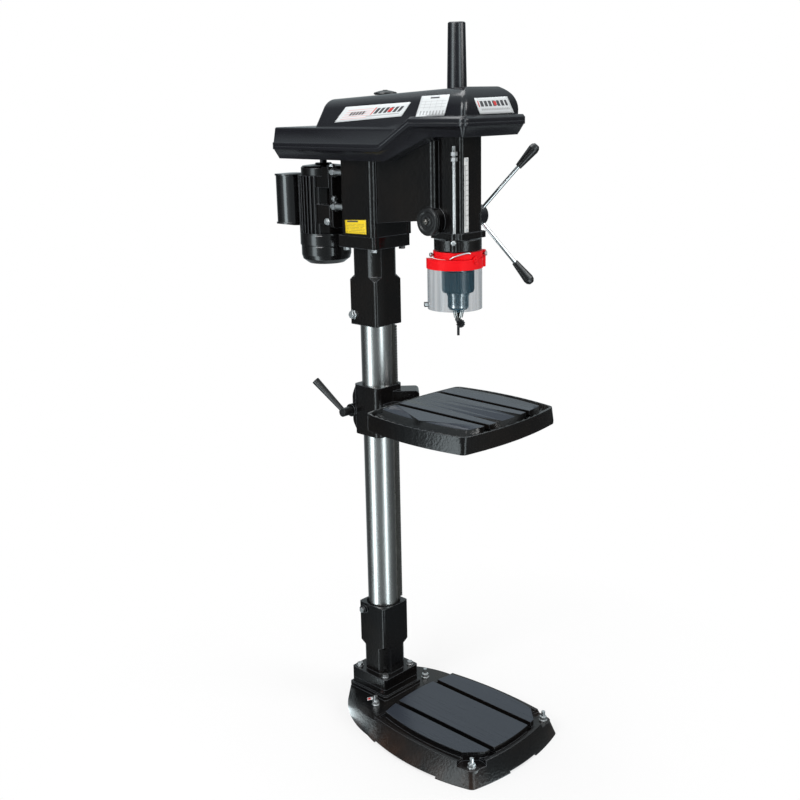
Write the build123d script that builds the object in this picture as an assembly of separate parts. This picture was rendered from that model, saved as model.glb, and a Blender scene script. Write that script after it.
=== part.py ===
from build123d import *
import os
from math import acos, atan2, ceil, cos, degrees, pi, radians, sin, sqrt, tan

# Floor-standing drill press, millimetres, +Z up. The origin is on the column's axis at floor level.
# The operator stands on the -Y side, and +X is the operator's right.

# Gaps
running_gap = 0.05  # radial gap of a turning or sliding shaft
seat_gap = 0.05  # radial gap of a piece that is pressed or bolted in place
free_gap = 0.4  # gap between faces that pass each other
hole_gap = 0.5  # radial gap of a bolt in a plain hole

# Column and the casting that holds each end of it
column_r = 36.5
column_wall = 4.0
bracket_height = 202.5
bracket_flange_half = 58.0
bracket_flange_height = 26.5
bracket_flange_corner = 7.0
bracket_half = 42.0
bracket_corner = 6.0
bracket_floor = 12.0
bracket_drain_r = 26.0
bracket_groove_width = 4.2
bracket_groove_depth = 12.0
bracket_bolt_at = 43.7
bracket_core_r = 47.0
bracket_pocket_half = 16.0
bracket_pocket_slope = 12.0
bracket_pocket_top = 91.0
clamp_screw_y = 24.0
clamp_screw_r = 4.0
clamp_screw_drop = bracket_groove_depth + clamp_screw_r + 1.0
clamp_boss_r = 10.0
clamp_boss_reach = 7.0
clamp_head_r = 6.0
clamp_head_length = 4.0
bolt_r = 4.0
bolt_head_flats = 13.0
bolt_head_height = 6.0
bolt_washer_r = 8.5
bolt_washer_height = 1.6
bolt_reach = 20.0

# Base casting
base_height = 46.0
base_pad_rise = 16.5
base_pad_top = base_height + base_pad_rise
base_gutter = base_height - 4.0
base_deck = base_height - 8.0
base_seat = base_height - 10.0
base_underside = 25.0
base_wall = 10.0
floor_outline = ((152.0, -414.0), -437.0, (180.0, -228.0), (154.0, -90.0), (124.0, -4.0), (72.0, 62.0), 80.0)
rim_outline = ((141.0, -399.0), -417.0, (151.0, -245.0), (138.0, -100.0), (112.0, -3.0), (64.0, 56.0), 72.0)
base_corner_r = 16.0
base_lip = 8.0
base_step_y = -101.0
base_pad_half = 58.0
base_step_half = 63.0
base_step_top = base_height + 1.0
base_pad_corner = 7.0
base_top_rise = 11.0
base_top = base_height + base_top_rise
base_island_half = 117.0
base_island_front = -388.0
base_island_rear = -117.0
base_island_bulge = 15.0
base_island_cut = 26.0
base_relief = 4.0
base_relief_side = (-324.0, -124.0)
base_relief_front = 46.0
base_pocket_r = 33.0
base_bolt_boss_r = 16.0
floor_bolt_front = (129.0, -392.0)
floor_bolt_rear = (88.0, -54.0)
floor_stud_r = 5.0
floor_tip_r = 4.5
floor_tip_gap = 1.0
floor_stud_rise = 23.0
floor_nut_flats = 15.0
floor_nut_height = 8.0
floor_washer_r = 9.5
floor_washer_height = 2.0

# Slots of the base and the table
slot_x = 67.5
slot_width = 14.0
slot_depth = 10.0
slot_foot_width = 24.0
slot_foot_depth = 8.0

# Table
table_top = 800.0
table_rim_drop = 6.0
table_rim = table_top - table_rim_drop
table_half = 150.0
table_rear = -113.0
table_front = -391.0
table_bulge = 8.0
table_corner_r = 14.0
table_island_half = 118.0
table_island_rear = -132.0
table_island_front = -373.0
table_island_bulge = 6.0
table_rim_height = 37.0
table_lip = 6.0
table_gutter_depth = 15.0
table_gutter = table_top - table_gutter_depth
table_plate = 26.0
table_wall = 9.0
table_draft = 3.0
tilt_drop = 58.0
tilt_z = table_top - tilt_drop
tilt_face_y = -97.0
tilt_boss_r = 34.0
tilt_lug_length = 46.0
tilt_bolt_r = 8.0
tilt_head_flats = 24.0
tilt_head_height = 10.0
table_rib_width = 16.0

# Carriage on the column
carriage_below = 47.0
carriage_above = 71.0
carriage_bottom = tilt_z - carriage_below
carriage_top = tilt_z + carriage_above
carriage_half = 41.5
carriage_corner = 14.0
carriage_bore = column_r + 0.08
carriage_split = 4.0
lift_rise = 13.0
lift_z = tilt_z + lift_rise
clamp_drop = 6.0
clamp_z = lift_z - clamp_drop
clamp_y = 46.0
clamp_ear_half = 30.0
clamp_ear_back = 61.0
clamp_ear_rise = 22.0
clamp_ear_corner = 9.0
clamp_bolt_r = 6.0
clamp_face_x = 46.0
clamp_nut_x = 44.5
clamp_boss_radius = 15.0
clamp_nut_flats = 19.0
clamp_nut_height = 9.0
lever_hub_r = 10.0
lever_hub_length = 27.0
lever_length = 101.0
lever_angle = 45.0
lever_lean = 14.0
lever_root_r = 5.5
lever_tip_r = 9.0

# Rack and its pinion
rack_angle = -45.0
rack_module = 2.0
rack_outer = 46.5
rack_width = 18.0
rack_bottom = 276.0
rack_top = 950.0
rack_gap = 0.3
rack_tongue = 3.2
pinion_teeth = 18
pinion_width = 20.0
tooth_play = 0.35
lift_box_below = 39.0
lift_box_above = 44.0
lift_box_low = lift_z - lift_box_below
lift_box_high = lift_z + lift_box_above
lift_box_reach = 95.0
lift_box_corner = 9.0
lift_barrel_half = 25.0
lift_shaft_r = 9.0
crank_plane = 84.0
crank_thickness = 12.0
crank_length = 95.0
crank_hub_r = 16.0
crank_end_r = 11.0
grip_length = 78.0
grip_r = 12.0
grip_pin_r = 5.0

# Head casting
head_bottom = 1157.5
head_half = 60.0
head_front = -58.0
head_rear = 44.0
head_top = 1322.0
head_corner = 10.0
head_wall = 10.0
bead_r = 10.5
bead_inset = 8.0
arm_half = 50.0
arm_end = -226.0
arm_bottom = 1187.0
arm_rise = 18.0
arm_corner = 9.0
slope_start = -118.0
slope_end = -245.0
barrel_half = 32.5
barrel_front = -288.0
barrel_bottom = 1167.0
barrel_corner = 7.0
barrel_foot_half = 42.0
barrel_foot_height = 13.0
barrel_slit = 3.0
barrel_slit_height = 52.0
barrel_slit_x = 22.0

# Spindle line
spindle_y = -248.0
quill_r = 26.0
quill_bottom = 1118.0
quill_top = 1296.0
quill_travel = 80.0
quill_bore = 17.0
quill_rack_module = 1.5
quill_rack_teeth = 24
collar_r = 50.0
collar_bottom = 1143.0
collar_top = 1165.0
bearing_height = 12.0
bearing_r = 21.0
spindle_r = 10.0
spindle_top = 1556.0
spindle_shoulder_r = 15.5
spindle_nose_bottom = 1062.0

# Depth stop
stop_dx = -41.0
stop_dy = -26.3
stop_rod_r = 4.0
stop_rod_top = 1356.0
stop_nut_flats = 13.0
stop_nut_height = 7.0
stop_nuts_z = (1324.5, 1335.5)

# Feed
feed_y = -213.0
feed_z = 1202.0
feed_teeth = 16
feed_pinion_half = 12.0
feed_bearing_r = 14.5
feed_bearing_x = 25.0
feed_shaft_r = 9.0
spring_cup_r = 29.5
spring_cup_inner = 25.5
spring_boss_x = -51.0
spring_cup_x = -58.0
spring_turns = 5
spring_strip = 0.8
spring_width = 9.0
hub_start = 54.0
hub_end = 120.0
hub_neck_r = 16.0
hub_r = 22.5
hub_centre_x = 101.0
arm_tilt = 28.5
arm_turn = 58.0
arm_count = 3
arm_r = 4.2
arm_length = 135.0
knob_length = 60.0
knob_root_r = 7.0
knob_tip_r = 11.5

# Chuck and its key
chuck_top = 1102.0
chuck_core_r = 24.0
chuck_cap_r = 28.5
chuck_cap_height = 10.0
chuck_nose_top = 1046.0
chuck_nose_r = 22.2
chuck_nose_bottom = 1016.0
sleeve_r = 34.5
sleeve_bottom = 1053.0
sleeve_top = 1099.0
sleeve_cavity_r = 29.0
sleeve_teeth = 30
sleeve_tooth_height = 6.0
sleeve_tooth_depth = 2.5
jaw_count = 3
jaw_r = 4.6
jaw_tip_z = 998.0
jaw_length = 62.0
jaw_lean = 12.0
key_bar_r = 2.8
key_bar_bottom = 959.0
key_bar_top = 1046.0
key_z = 992.0
key_heading = 228.5
key_body_r = 6.0
key_body_back = 8.0
key_gear_start = 38.0
key_gear_length = 11.0
key_gear_r = 9.4
key_gear_teeth = 12
key_pilot_r = 3.2
key_pilot_length = 7.0

# Chuck guard
guard_ring_r = 52.0
guard_ring_bottom = 1126.5
guard_ring_top = 1140.5
guard_ring_wall = 5.0
guard_shift = 7.0
guard_shift_heading = 134.4
guard_band_r = 59.6
guard_band_wall = 1.7
guard_top_r = 47.0
guard_top_wall = 1.6
guard_band_bottom = 1105.0
guard_band_top = 1126.0
guard_shield_bottom = 1019.0
guard_shield_wall = 1.8
guard_first = 137.0
guard_last = 306.0
guard_pin_heading = 318.0
guard_pin_r = 2.5
guard_knuckle_r = 6.0
guard_bolt_z = 1029.0
guard_bolt_r = 3.0

# Belt cover
cover_half = 98.0
cover_front = -350.0
cover_rear = 228.0
cover_front_r = 12.0
cover_rear_r = 15.0
cover_wall = 3.0
seam_rear = 1350.0
seam_front = 1401.0
pan_depth = 28.0
pan_inset = 13.0
seam_band = 7.0
seam_proud = 1.0
lid_flange = 12.0
lid_band_slope = 5.0
tail_top = 1391.0
tail_inset = 6.5
tail_edge_r = 4.0
dome_half = 66.0
dome_lean = 19.0
dome_shoulder_r = 30.0
dome_front = -320.0
dome_rear = 78.0
dome_front_z = 1468.0
dome_rear_z = 1449.0
dome_front_r = 9.0
dome_rear_r = 22.0
tube_base_r = 20.0
tube_top_r = 17.7
tube_bore_r = 15.0
tube_bottom = 1455.0
tube_top = 1592.0
tube_flange_r = 25.0

# Pulleys and belts
motor_y = 160.0
idler_y = -45.0
step_pitch = 13.0
step_low_z = 1331.0
step_high_z = 1383.0
motor_steps = (50.0, 44.0, 38.0, 32.0)
idler_low_steps = (46.0, 52.0, 58.0, 64.0)
idler_high_steps = (40.0, 46.0, 52.0, 58.0)
spindle_steps = (62.0, 56.0, 50.0, 44.0)
motor_belt_step = 2
spindle_belt_step = 1
groove_depth = 8.0
groove_width = 10.0
groove_bottom_width = 6.0
belt_height = 6.0
belt_gap = 0.35
sleeve_outer_r = 16.0
drive_sleeve_bottom = 1330.0
drive_bearing_r = 26.0
idler_post_r = 7.0
idler_pivot_y = 22.0
idler_pivot_r = 8.0
idler_arm_z = 1326.5
idler_arm_height = 4.0
post_top = 1466.0
post_neck_r = 5.0
lid_knob_r = 25.0
lid_knob_height = 10.0

# Motor and its slide
motor_r = 53.0
fin_r = 60.0
fin_count = 36
fin_width = 3.0
motor_bottom = 1153.0
motor_top = 1283.0
shield_top = 1310.0
shield_r = 52.5
fan_bottom = 1082.0
fan_r = 60.0
fan_step_z = 1125.0
fan_wall = 2.0
fan_round = 14.0
plate_front = 82.0
plate_thickness = 8.0
plate_half = 48.0
plate_bottom = 1168.0
plate_top = 1306.0
plate_corner = 10.0
foot_half = 50.0
foot_inner = 30.0
foot_tip = 112.0
foot_bands = ((1176.0, 1220.0), (1258.0, 1304.0))
slide_rod_x = 42.0
slide_rod_z = (1217.0, 1293.0)
slide_rod_r = 7.0
slide_rod_start = -18.0
slide_nut_flats = 19.0
slide_nut_height = 9.0
motor_shaft_r = 8.0
box_half = 30.0
box_back = 305.0
box_bottom = 1165.0
box_top = 1282.0
box_corner = 12.0
box_lip = 3.0
box_lip_height = 4.0
box_neck_half = 20.0

# Switch
switch_y = (-36.0, 26.0)
switch_z = (1214.0, 1300.0)
switch_depth = 34.0
switch_corner = 6.0
button_r = 10.0
button_height = 9.0
button_travel = 3.0
start_z = 1276.0
stop_z = 1240.0
gland_r = 8.0
gland_height = 12.0

rack_dir = Vector(cos(radians(rack_angle)), sin(radians(rack_angle)), 0)
crank_dir = Vector(-sin(radians(rack_angle)), cos(radians(rack_angle)), 0)
pinion_r = rack_module * pinion_teeth / 2
pinion_at = rack_outer - rack_module + pinion_r
feed_r = quill_rack_module * feed_teeth / 2
quill_rack_pitch = feed_y - spindle_y - feed_r
head_bolt_seat = head_bottom - bracket_flange_height


# Shared shapes
def block(x0, x1, y0, y1, z0, z1):
    return Pos((x0 + x1) / 2, (y0 + y1) / 2, (z0 + z1) / 2) * Box(x1 - x0, y1 - y0, z1 - z0)


def round_block(half_x, half_y, corner, z0, z1):
    return Pos(0, 0, z0) * extrude(RectangleRounded(2 * half_x, 2 * half_y, corner), z1 - z0)


def rod(radius, start, end):
    start, end = Vector(start), Vector(end)
    return extrude(Plane(start, z_dir=end - start) * Circle(radius), (end - start).length)


def cone_rod(radius0, radius1, start, end):
    start, end = Vector(start), Vector(end)
    length = (end - start).length
    return Plane(start, z_dir=end - start) * Pos(0, 0, length / 2) * Cone(radius0, radius1, length)


def pillar(radius, z0, z1, x=0, y=0):
    return Pos(x, y, (z0 + z1) / 2) * Cylinder(radius, z1 - z0)


def turned(profile):
    return revolve(Plane.XZ * make_face(Polyline(*profile, close=True)), Axis.Z)


def hexagon(flats, start, end):
    start, end = Vector(start), Vector(end)
    plane = Plane(start, z_dir=end - start)
    return extrude(plane * RegularPolygon(flats / 2, 6, major_radius=False), (end - start).length)


def bulged_outline(half_x, front, rear, bulge, corner):
    middle = (front + rear) / 2
    sides = Curve() + [
        ThreePointArc((-half_x, front), (0, front - bulge), (half_x, front)),
        ThreePointArc((half_x, front), (half_x + bulge, middle), (half_x, rear)),
        ThreePointArc((half_x, rear), (0, rear + bulge), (-half_x, rear)),
        ThreePointArc((-half_x, rear), (-half_x - bulge, middle), (-half_x, front)),
    ]
    face = make_face(sides)
    return fillet(face.vertices(), corner)


def slots(top, front, rear):
    cuts = []
    for x in (-slot_x, slot_x):
        cuts.append(block(x - slot_width / 2, x + slot_width / 2, front, rear, top - slot_depth, top + 1))
        foot = top - slot_depth
        half = slot_foot_width / 2
        cuts.append(block(x - half, x + half, front, rear, foot - slot_foot_depth, foot))
    return cuts


def gear_outline(module, teeth, play):
    pitch = module * teeth / 2
    base = pitch * cos(radians(20))
    root = pitch - 1.25 * module
    tip = pitch + module
    half = pi / (2 * teeth) - play / (2 * pitch)
    turn = tan(radians(20)) - radians(20)
    low = max(base, root)
    flank = [low + (tip - low) * step / 4 for step in range(5)]
    side = [(root, half + turn)]
    for r in flank:
        press = acos(base / r)
        side.append((r, half + turn - (tan(press) - press)))
    points = []
    for tooth in range(teeth):
        middle = 2 * pi * tooth / teeth
        points += [(r * cos(middle - a), r * sin(middle - a)) for r, a in side]
        points += [(r * cos(middle + a), r * sin(middle + a)) for r, a in reversed(side)]
    return make_face(Polyline(*points, close=True))


def rack_profile(module, first, last, middle, back, outer, play):
    # Teeth point along +X of the sketch, and a gap between two teeth lies at the middle height.
    pitch = pi * module
    tip_half = pitch / 4 - module * tan(radians(20)) - play / 2
    root_half = pitch / 4 + 1.25 * module * tan(radians(20)) - play / 2
    root = outer - 2.25 * module
    points = [(back, first), (root, first)]
    count = int((last - first) / pitch)
    start = ceil((first + root_half - middle) / pitch - 0.5)
    for tooth in range(start, start + count):
        z = middle + (tooth + 0.5) * pitch
        if z + root_half > last:
            break
        points += [(root, z - root_half), (outer, z - tip_half), (outer, z + tip_half), (root, z + root_half)]
    points += [(root, last), (back, last)]
    return make_face(Polyline(*points, close=True))


# Base and column
def base_outline(places):
    corner, front, side, shoulder, flank, back, rear = places
    right = Curve() + [
        ThreePointArc(corner, side, shoulder),
        ThreePointArc(shoulder, flank, back),
    ]
    ends = Curve() + [
        ThreePointArc((-corner[0], corner[1]), (0, front), corner),
        ThreePointArc(back, (0, rear), (-back[0], back[1])),
    ]
    face = make_face(right + ends + mirror(right, Plane.YZ))
    corners = face.vertices().sort_by(Axis.Y)[:2]
    return fillet(corners, base_corner_r)


def floor_bolt_places():
    places = []
    for (x, y), seat in ((floor_bolt_front, base_seat), (floor_bolt_rear, base_deck)):
        places += [(x, y, seat), (-x, y, seat)]
    return places


def base():
    floor_face = base_outline(floor_outline)
    rim_face = base_outline(rim_outline)
    body = loft([floor_face, Pos(0, 0, base_height) * rim_face], ruled=True)
    hollow_floor = Pos(0, 0, -1) * offset(floor_face, -base_wall)
    hollow_rim = Pos(0, 0, base_height) * offset(rim_face, -base_wall)
    far = 4 * base_pad_half
    hollow = loft([hollow_floor, hollow_rim], ruled=True)
    body -= hollow & block(-far, far, 2 * floor_outline[1], far, -1, base_underside)
    gutter = Pos(0, 0, base_gutter) * extrude(offset(rim_face, -base_lip), base_height)
    body -= gutter & block(-far, far, 2 * floor_outline[1], base_step_y - base_lip, 0, 2 * base_height)
    body -= block(-far, far, base_step_y, far, base_deck, 2 * base_height)
    body += round_block(base_pad_half, base_pad_half, base_pad_corner, base_underside, base_pad_top)
    body += round_block(base_step_half, base_step_half, base_pad_corner, base_underside, base_step_top)
    island = bulged_outline(base_island_half, base_island_front, base_island_rear, base_island_bulge, 2)
    edge_x = base_island_half + base_island_bulge
    edge_y = base_island_front - base_island_bulge
    corner = make_face(
        Polyline(
            (edge_x, edge_y),
            (edge_x - 2 * base_island_cut, edge_y),
            (edge_x, edge_y + 2 * base_island_cut),
            close=True,
        )
    )
    island -= corner
    island -= mirror(corner, Plane.YZ)
    for x, y, seat in floor_bolt_places():
        body += pillar(base_bolt_boss_r, 0, seat, x, y) & extrude(floor_face, base_height)
        if seat == base_seat:
            body -= pillar(base_pocket_r, seat, 2 * base_height, x, y)
        body -= pillar(floor_stud_r + hole_gap, -1, 2 * base_height, x, y)
    body += Pos(0, 0, base_underside) * extrude(island, base_top - base_underside)
    for cut in slots(base_top, edge_y, base_island_rear + base_island_bulge):
        body -= cut
    for side in (-1, 1):
        for end in (-1, 1):
            x, y = side * bracket_bolt_at, end * bracket_bolt_at
            body -= pillar(bolt_r + seat_gap, base_pad_top - bolt_reach - 3, base_pad_top + 1, x, y)
    y0, y1 = base_relief_side
    body -= block(-far, far, y0, y1, -1, base_relief)
    front = floor_outline[0][1] + far / 4
    body -= block(-base_relief_front, base_relief_front, 2 * floor_outline[1], front, -1, base_relief)
    return body


def floor_bolts():
    pieces = []
    for x, y, seat in floor_bolt_places():
        low = seat + floor_washer_height
        high = low + floor_nut_height
        stud = pillar(floor_stud_r, 3, high + floor_tip_gap, x, y)
        pieces.append(stud + pillar(floor_tip_r, high, seat + floor_stud_rise, x, y))
        nut = pillar(floor_washer_r, seat, low, x, y)
        nut += hexagon(floor_nut_flats, (x, y, low), (x, y, high))
        pieces.append(nut - pillar(floor_stud_r + seat_gap, seat - 1, high + 1, x, y))
    return pieces


def column_bracket():
    body = round_block(bracket_flange_half, bracket_flange_half, bracket_flange_corner, 0, bracket_flange_height)
    body += round_block(bracket_half, bracket_half, bracket_corner, 0, bracket_height)
    pocket_end = bracket_pocket_top + bracket_pocket_slope
    core = pillar(bracket_core_r, 0, bracket_pocket_top)
    outer_r = bracket_core_r + bracket_pocket_slope
    core += cone_rod(bracket_core_r, outer_r, (0, 0, bracket_pocket_top), (0, 0, pocket_end))
    wide = block(0, 2 * bracket_half, -bracket_pocket_half, bracket_pocket_half, bracket_flange_height, pocket_end)
    for corner in range(4):
        body -= Rot(0, 0, 45 + 90 * corner) * wide - core
    for side in (-1, 1):
        for end in (-1, 1):
            x, y = side * bracket_bolt_at, end * bracket_bolt_at
            body -= pillar(bolt_r + hole_gap, -1, bracket_flange_height + 1, x, y)
    z = bracket_height - clamp_screw_drop
    face = -bracket_half - clamp_boss_reach
    body += rod(clamp_boss_r, (-column_r - 2, clamp_screw_y, z), (face, clamp_screw_y, z))
    body -= rod(clamp_screw_r + seat_gap, (0, clamp_screw_y, z), (2 * face, clamp_screw_y, z))
    body -= pillar(column_r + seat_gap, bracket_floor, bracket_height + 1)
    body -= pillar(bracket_drain_r, -1, bracket_floor + 1)
    groove_r = column_r + bracket_groove_width
    body -= pillar(groove_r, bracket_height - bracket_groove_depth, bracket_height + 1)
    return body


def clamp_screw():
    z = bracket_height - clamp_screw_drop
    face = -bracket_half - clamp_boss_reach
    touch = -sqrt((column_r + rack_gap) ** 2 - clamp_screw_y**2) - clamp_screw_r
    screw = rod(clamp_screw_r, (touch, clamp_screw_y, z), (face, clamp_screw_y, z))
    head = face - clamp_head_length
    return screw + hexagon(2 * clamp_head_r, (face, clamp_screw_y, z), (head, clamp_screw_y, z))


def bracket_bolt(x, y):
    seat = bracket_flange_height
    bolt = pillar(bolt_r, -bolt_reach, seat, x, y)
    bolt += pillar(bolt_washer_r, seat, seat + bolt_washer_height, x, y)
    low = seat + bolt_washer_height
    return bolt + hexagon(bolt_head_flats, (x, y, low), (x, y, low + bolt_head_height))


foot_place = Pos(0, 0, base_pad_top)
head_place = Pos(0, 0, head_bottom) * Rot(0, 0, 135) * Rot(180, 0, 0) * Rot(0, 0, -135)


def bracket_fasteners():
    pieces = []
    for place in (foot_place, head_place):
        pieces.append(place * clamp_screw())
        for side in (-1, 1):
            for end in (-1, 1):
                pieces.append(place * bracket_bolt(side * bracket_bolt_at, end * bracket_bolt_at))
    return pieces


def column():
    low = base_pad_top + bracket_floor
    high = head_bottom - bracket_floor
    return pillar(column_r, low, high) - pillar(column_r - column_wall, low - 1, high + 1)


def rack():
    back = column_r + rack_gap
    bar = rack_profile(rack_module, rack_bottom, rack_top, lift_z, 0, rack_outer, tooth_play)
    plane = Plane((0, 0, 0), x_dir=rack_dir, z_dir=-crank_dir)
    body = extrude(plane * bar, rack_width / 2, both=True)
    low = base_pad_top + bracket_height - bracket_groove_depth
    high = head_bottom - bracket_height + bracket_groove_depth / 2
    tongue = pillar(back + rack_tongue, low, high) - pillar(back, low - 1, high + 1)
    keep = plane * Rectangle(4 * rack_outer, 4 * rack_top)
    keep = extrude(keep, rack_width / 2 - 1, both=True)
    front = Rot(0, 0, rack_angle) * block(0, 2 * rack_outer, -rack_width, rack_width, low - 1, high + 1)
    body += tongue & keep & front
    return body - pillar(back, low - 1, high + 1)


# Carriage, table and lift
def carriage():
    body = round_block(carriage_half, carriage_half, carriage_corner, carriage_bottom, carriage_top)
    ear = make_face(
        Polyline(
            (0, carriage_bottom),
            (carriage_half, carriage_bottom),
            (clamp_ear_back, clamp_z - clamp_ear_rise),
            (clamp_ear_back, clamp_z + clamp_ear_rise),
            (carriage_half, carriage_top),
            (0, carriage_top),
            close=True,
        )
    )
    ears = extrude(Plane.YZ * ear, clamp_ear_half, both=True)
    outer = ears.edges().filter_by(Axis.Z).sort_by(Axis.Y)[-2:]
    body += fillet(outer, clamp_ear_corner)
    body += rod(clamp_boss_radius, (clamp_nut_x, clamp_y, clamp_z), (-clamp_face_x, clamp_y, clamp_z))
    arm = make_face(
        Polyline(
            (0, carriage_bottom + 4),
            (tilt_face_y + 14, tilt_z - tilt_boss_r + 6),
            (tilt_face_y + 14, tilt_z + tilt_boss_r - 6),
            (0, tilt_z + tilt_boss_r + 2),
            close=True,
        )
    )
    body += extrude(Plane.YZ * arm, tilt_boss_r - 8, both=True)
    body += rod(tilt_boss_r, (0, tilt_face_y + 20, tilt_z), (0, tilt_face_y, tilt_z))
    axis = rack_dir * pinion_at + Vector(0, 0, lift_z)
    plane = Plane((0, 0, 0), x_dir=rack_dir, z_dir=-crank_dir)
    middle = Pos(lift_box_reach / 2, (lift_box_low + lift_box_high) / 2)
    gear_case = middle * RectangleRounded(lift_box_reach, lift_box_high - lift_box_low, lift_box_corner)
    body += extrude(plane * gear_case, lift_barrel_half, both=True)
    boss = axis + crank_dir * (crank_plane - 1)
    body += rod(lift_shaft_r + 7, axis, boss)
    body -= pillar(carriage_bore, carriage_bottom - 1, carriage_top + 1)
    slot_half = rack_width / 2 + free_gap
    track = block(0, rack_outer + free_gap, -slot_half, slot_half, carriage_bottom - 1, carriage_top + 1)
    body -= Rot(0, 0, rack_angle) * track
    half = pinion_width / 2 + free_gap
    room = pinion_r + rack_module + free_gap
    body -= rod(room, axis - crank_dir * half, axis + crank_dir * half)
    body -= rod(lift_shaft_r + running_gap, axis - crank_dir * (lift_barrel_half - 6), boss + crank_dir * 2)
    body -= block(-carriage_split / 2, carriage_split / 2, 0, 2 * clamp_ear_back, carriage_bottom - 1, carriage_top + 1)
    body -= rod(clamp_bolt_r + hole_gap, (-2 * clamp_face_x, clamp_y, clamp_z), (2 * clamp_face_x, clamp_y, clamp_z))
    body -= rod(tilt_bolt_r + running_gap, (0, -column_r - 2, tilt_z), (0, tilt_face_y - 1, tilt_z))
    head_room = tilt_head_flats / sqrt(3) + 2 * free_gap
    return body - rod(head_room, (0, -column_r, tilt_z), (0, -column_r - tilt_head_height - 6, tilt_z))


def lock_lever():
    # The bolt runs through both ears of the split clamp and ends in the lever's hub.
    end = -clamp_face_x - free_gap
    far = clamp_nut_x + free_gap
    lever = rod(clamp_bolt_r, (end, clamp_y, clamp_z), (far, clamp_y, clamp_z))
    lever += hexagon(clamp_nut_flats, (far, clamp_y, clamp_z), (far + clamp_nut_height, clamp_y, clamp_z))
    hub_end = end - lever_hub_length
    lever += rod(lever_hub_r, (end, clamp_y, clamp_z), (hub_end, clamp_y, clamp_z))
    root = Vector(hub_end + lever_root_r + 2, clamp_y, clamp_z)
    lean = radians(lever_lean)
    rise = radians(lever_angle)
    along = Vector(-sin(lean), cos(lean) * cos(rise), cos(lean) * sin(rise))
    lever += cone_rod(lever_root_r, lever_tip_r, root, root + along * lever_length)
    return lever


def table_outline(inset):
    return bulged_outline(
        table_half - inset, table_front + inset, table_rear - inset, table_bulge, max(table_corner_r - inset, 2)
    )


def table():
    bottom = table_rim - table_rim_height
    low = Pos(0, 0, bottom) * table_outline(table_draft)
    body = loft([low, Pos(0, 0, table_rim) * table_outline(0)], ruled=True)
    plate_low = table_top - table_plate
    body -= Pos(0, 0, bottom - 1) * extrude(table_outline(table_draft + table_wall), plate_low - bottom + 1)
    body -= Pos(0, 0, table_gutter) * extrude(table_outline(table_lip), table_rim_height)
    island = bulged_outline(
        table_island_half, table_island_front, table_island_rear, table_island_bulge, table_corner_r / 2
    )
    body += Pos(0, 0, table_gutter - 2) * extrude(island, table_top - table_gutter + 2)
    for cut in slots(table_top, table_island_front - table_island_bulge, table_island_rear + table_island_bulge):
        body -= cut
    return body + table_underside(bottom, plate_low)


def table_underside(bottom, plate_low):
    lug_end = tilt_face_y - free_gap
    lug_front = lug_end - tilt_lug_length
    lug = rod(tilt_boss_r, (0, lug_end, tilt_z), (0, lug_front, tilt_z))
    web_front = table_front + 2
    web = make_face(
        Polyline(
            (lug_end, tilt_z),
            (lug_end, plate_low + 2),
            (web_front, plate_low + 2),
            (web_front, bottom),
            (lug_front, tilt_z - tilt_boss_r + 8),
            (lug_front, tilt_z),
            close=True,
        )
    )
    body = lug & block(-tilt_boss_r, tilt_boss_r, lug_front, lug_end, tilt_z - tilt_boss_r, plate_low + 2)
    body += block(-tilt_boss_r + 6, tilt_boss_r - 6, lug_front, lug_end, tilt_z, plate_low + 2)
    body += extrude(Plane.YZ * web, table_rib_width / 2, both=True)
    middle = (table_front + table_rear) / 2
    rib_half = table_half - table_draft
    for y in (middle - table_half / 2, middle + table_half / 2):
        body += block(-rib_half, rib_half, y - table_rib_width / 4, y + table_rib_width / 4, bottom, plate_low + 2)
    return body - rod(tilt_bolt_r + seat_gap, (0, lug_end + 1, tilt_z), (0, lug_front + 8, tilt_z))


def tilt_bolt():
    inner = -column_r - 4
    end = tilt_face_y - free_gap - tilt_lug_length + 10
    bolt = rod(tilt_bolt_r, (0, inner, tilt_z), (0, end, tilt_z))
    return bolt + hexagon(tilt_head_flats, (0, inner, tilt_z), (0, inner - tilt_head_height, tilt_z))


def lift_pinion():
    axis = rack_dir * pinion_at + Vector(0, 0, lift_z)
    start = axis - crank_dir * (lift_barrel_half - 6.5)
    shaft = rod(lift_shaft_r, start, axis + crank_dir * (crank_plane + crank_thickness))
    plane = Plane(axis, x_dir=-rack_dir, z_dir=crank_dir)
    gear = plane * gear_outline(rack_module, pinion_teeth, tooth_play)
    return shaft + extrude(gear, pinion_width / 2, both=True)


def crank():
    axis = rack_dir * pinion_at + Vector(0, 0, lift_z) + crank_dir * (crank_plane + free_gap / 2)
    plane = Plane(axis, x_dir=-rack_dir, z_dir=crank_dir)
    ends = Circle(crank_hub_r) + Pos(crank_length, 0) * Circle(crank_end_r)
    arm = make_hull(ends.edges())
    body = extrude(plane * arm, crank_thickness)
    body -= rod(lift_shaft_r + seat_gap, axis - crank_dir, axis + crank_dir * (crank_thickness + 1))
    pin = axis - rack_dir * crank_length
    end = pin + crank_dir * (crank_thickness + grip_length + 4)
    body += rod(grip_pin_r, pin, end)
    return body + rod(grip_pin_r + 3, end, end + crank_dir * 3)


def crank_grip():
    axis = rack_dir * (pinion_at - crank_length) + Vector(0, 0, lift_z)
    start = crank_plane + free_gap / 2 + crank_thickness + free_gap
    profile = [
        (grip_pin_r + running_gap, 0),
        (grip_r - 2, 0),
        (grip_r, grip_length * 0.3),
        (grip_r, grip_length * 0.75),
        (grip_r - 4, grip_length),
        (grip_pin_r + running_gap, grip_length),
    ]
    return Plane(axis + crank_dir * start, z_dir=crank_dir) * turned(profile)


# Head casting
def cover_slope(low, high, y):
    share = (slope_start - y) / (slope_start - slope_end)
    return low + (high - low) * min(max(share, 0), 1)


def pan_underside(y):
    return cover_slope(seam_rear - pan_depth, seam_front - pan_depth, y)


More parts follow.
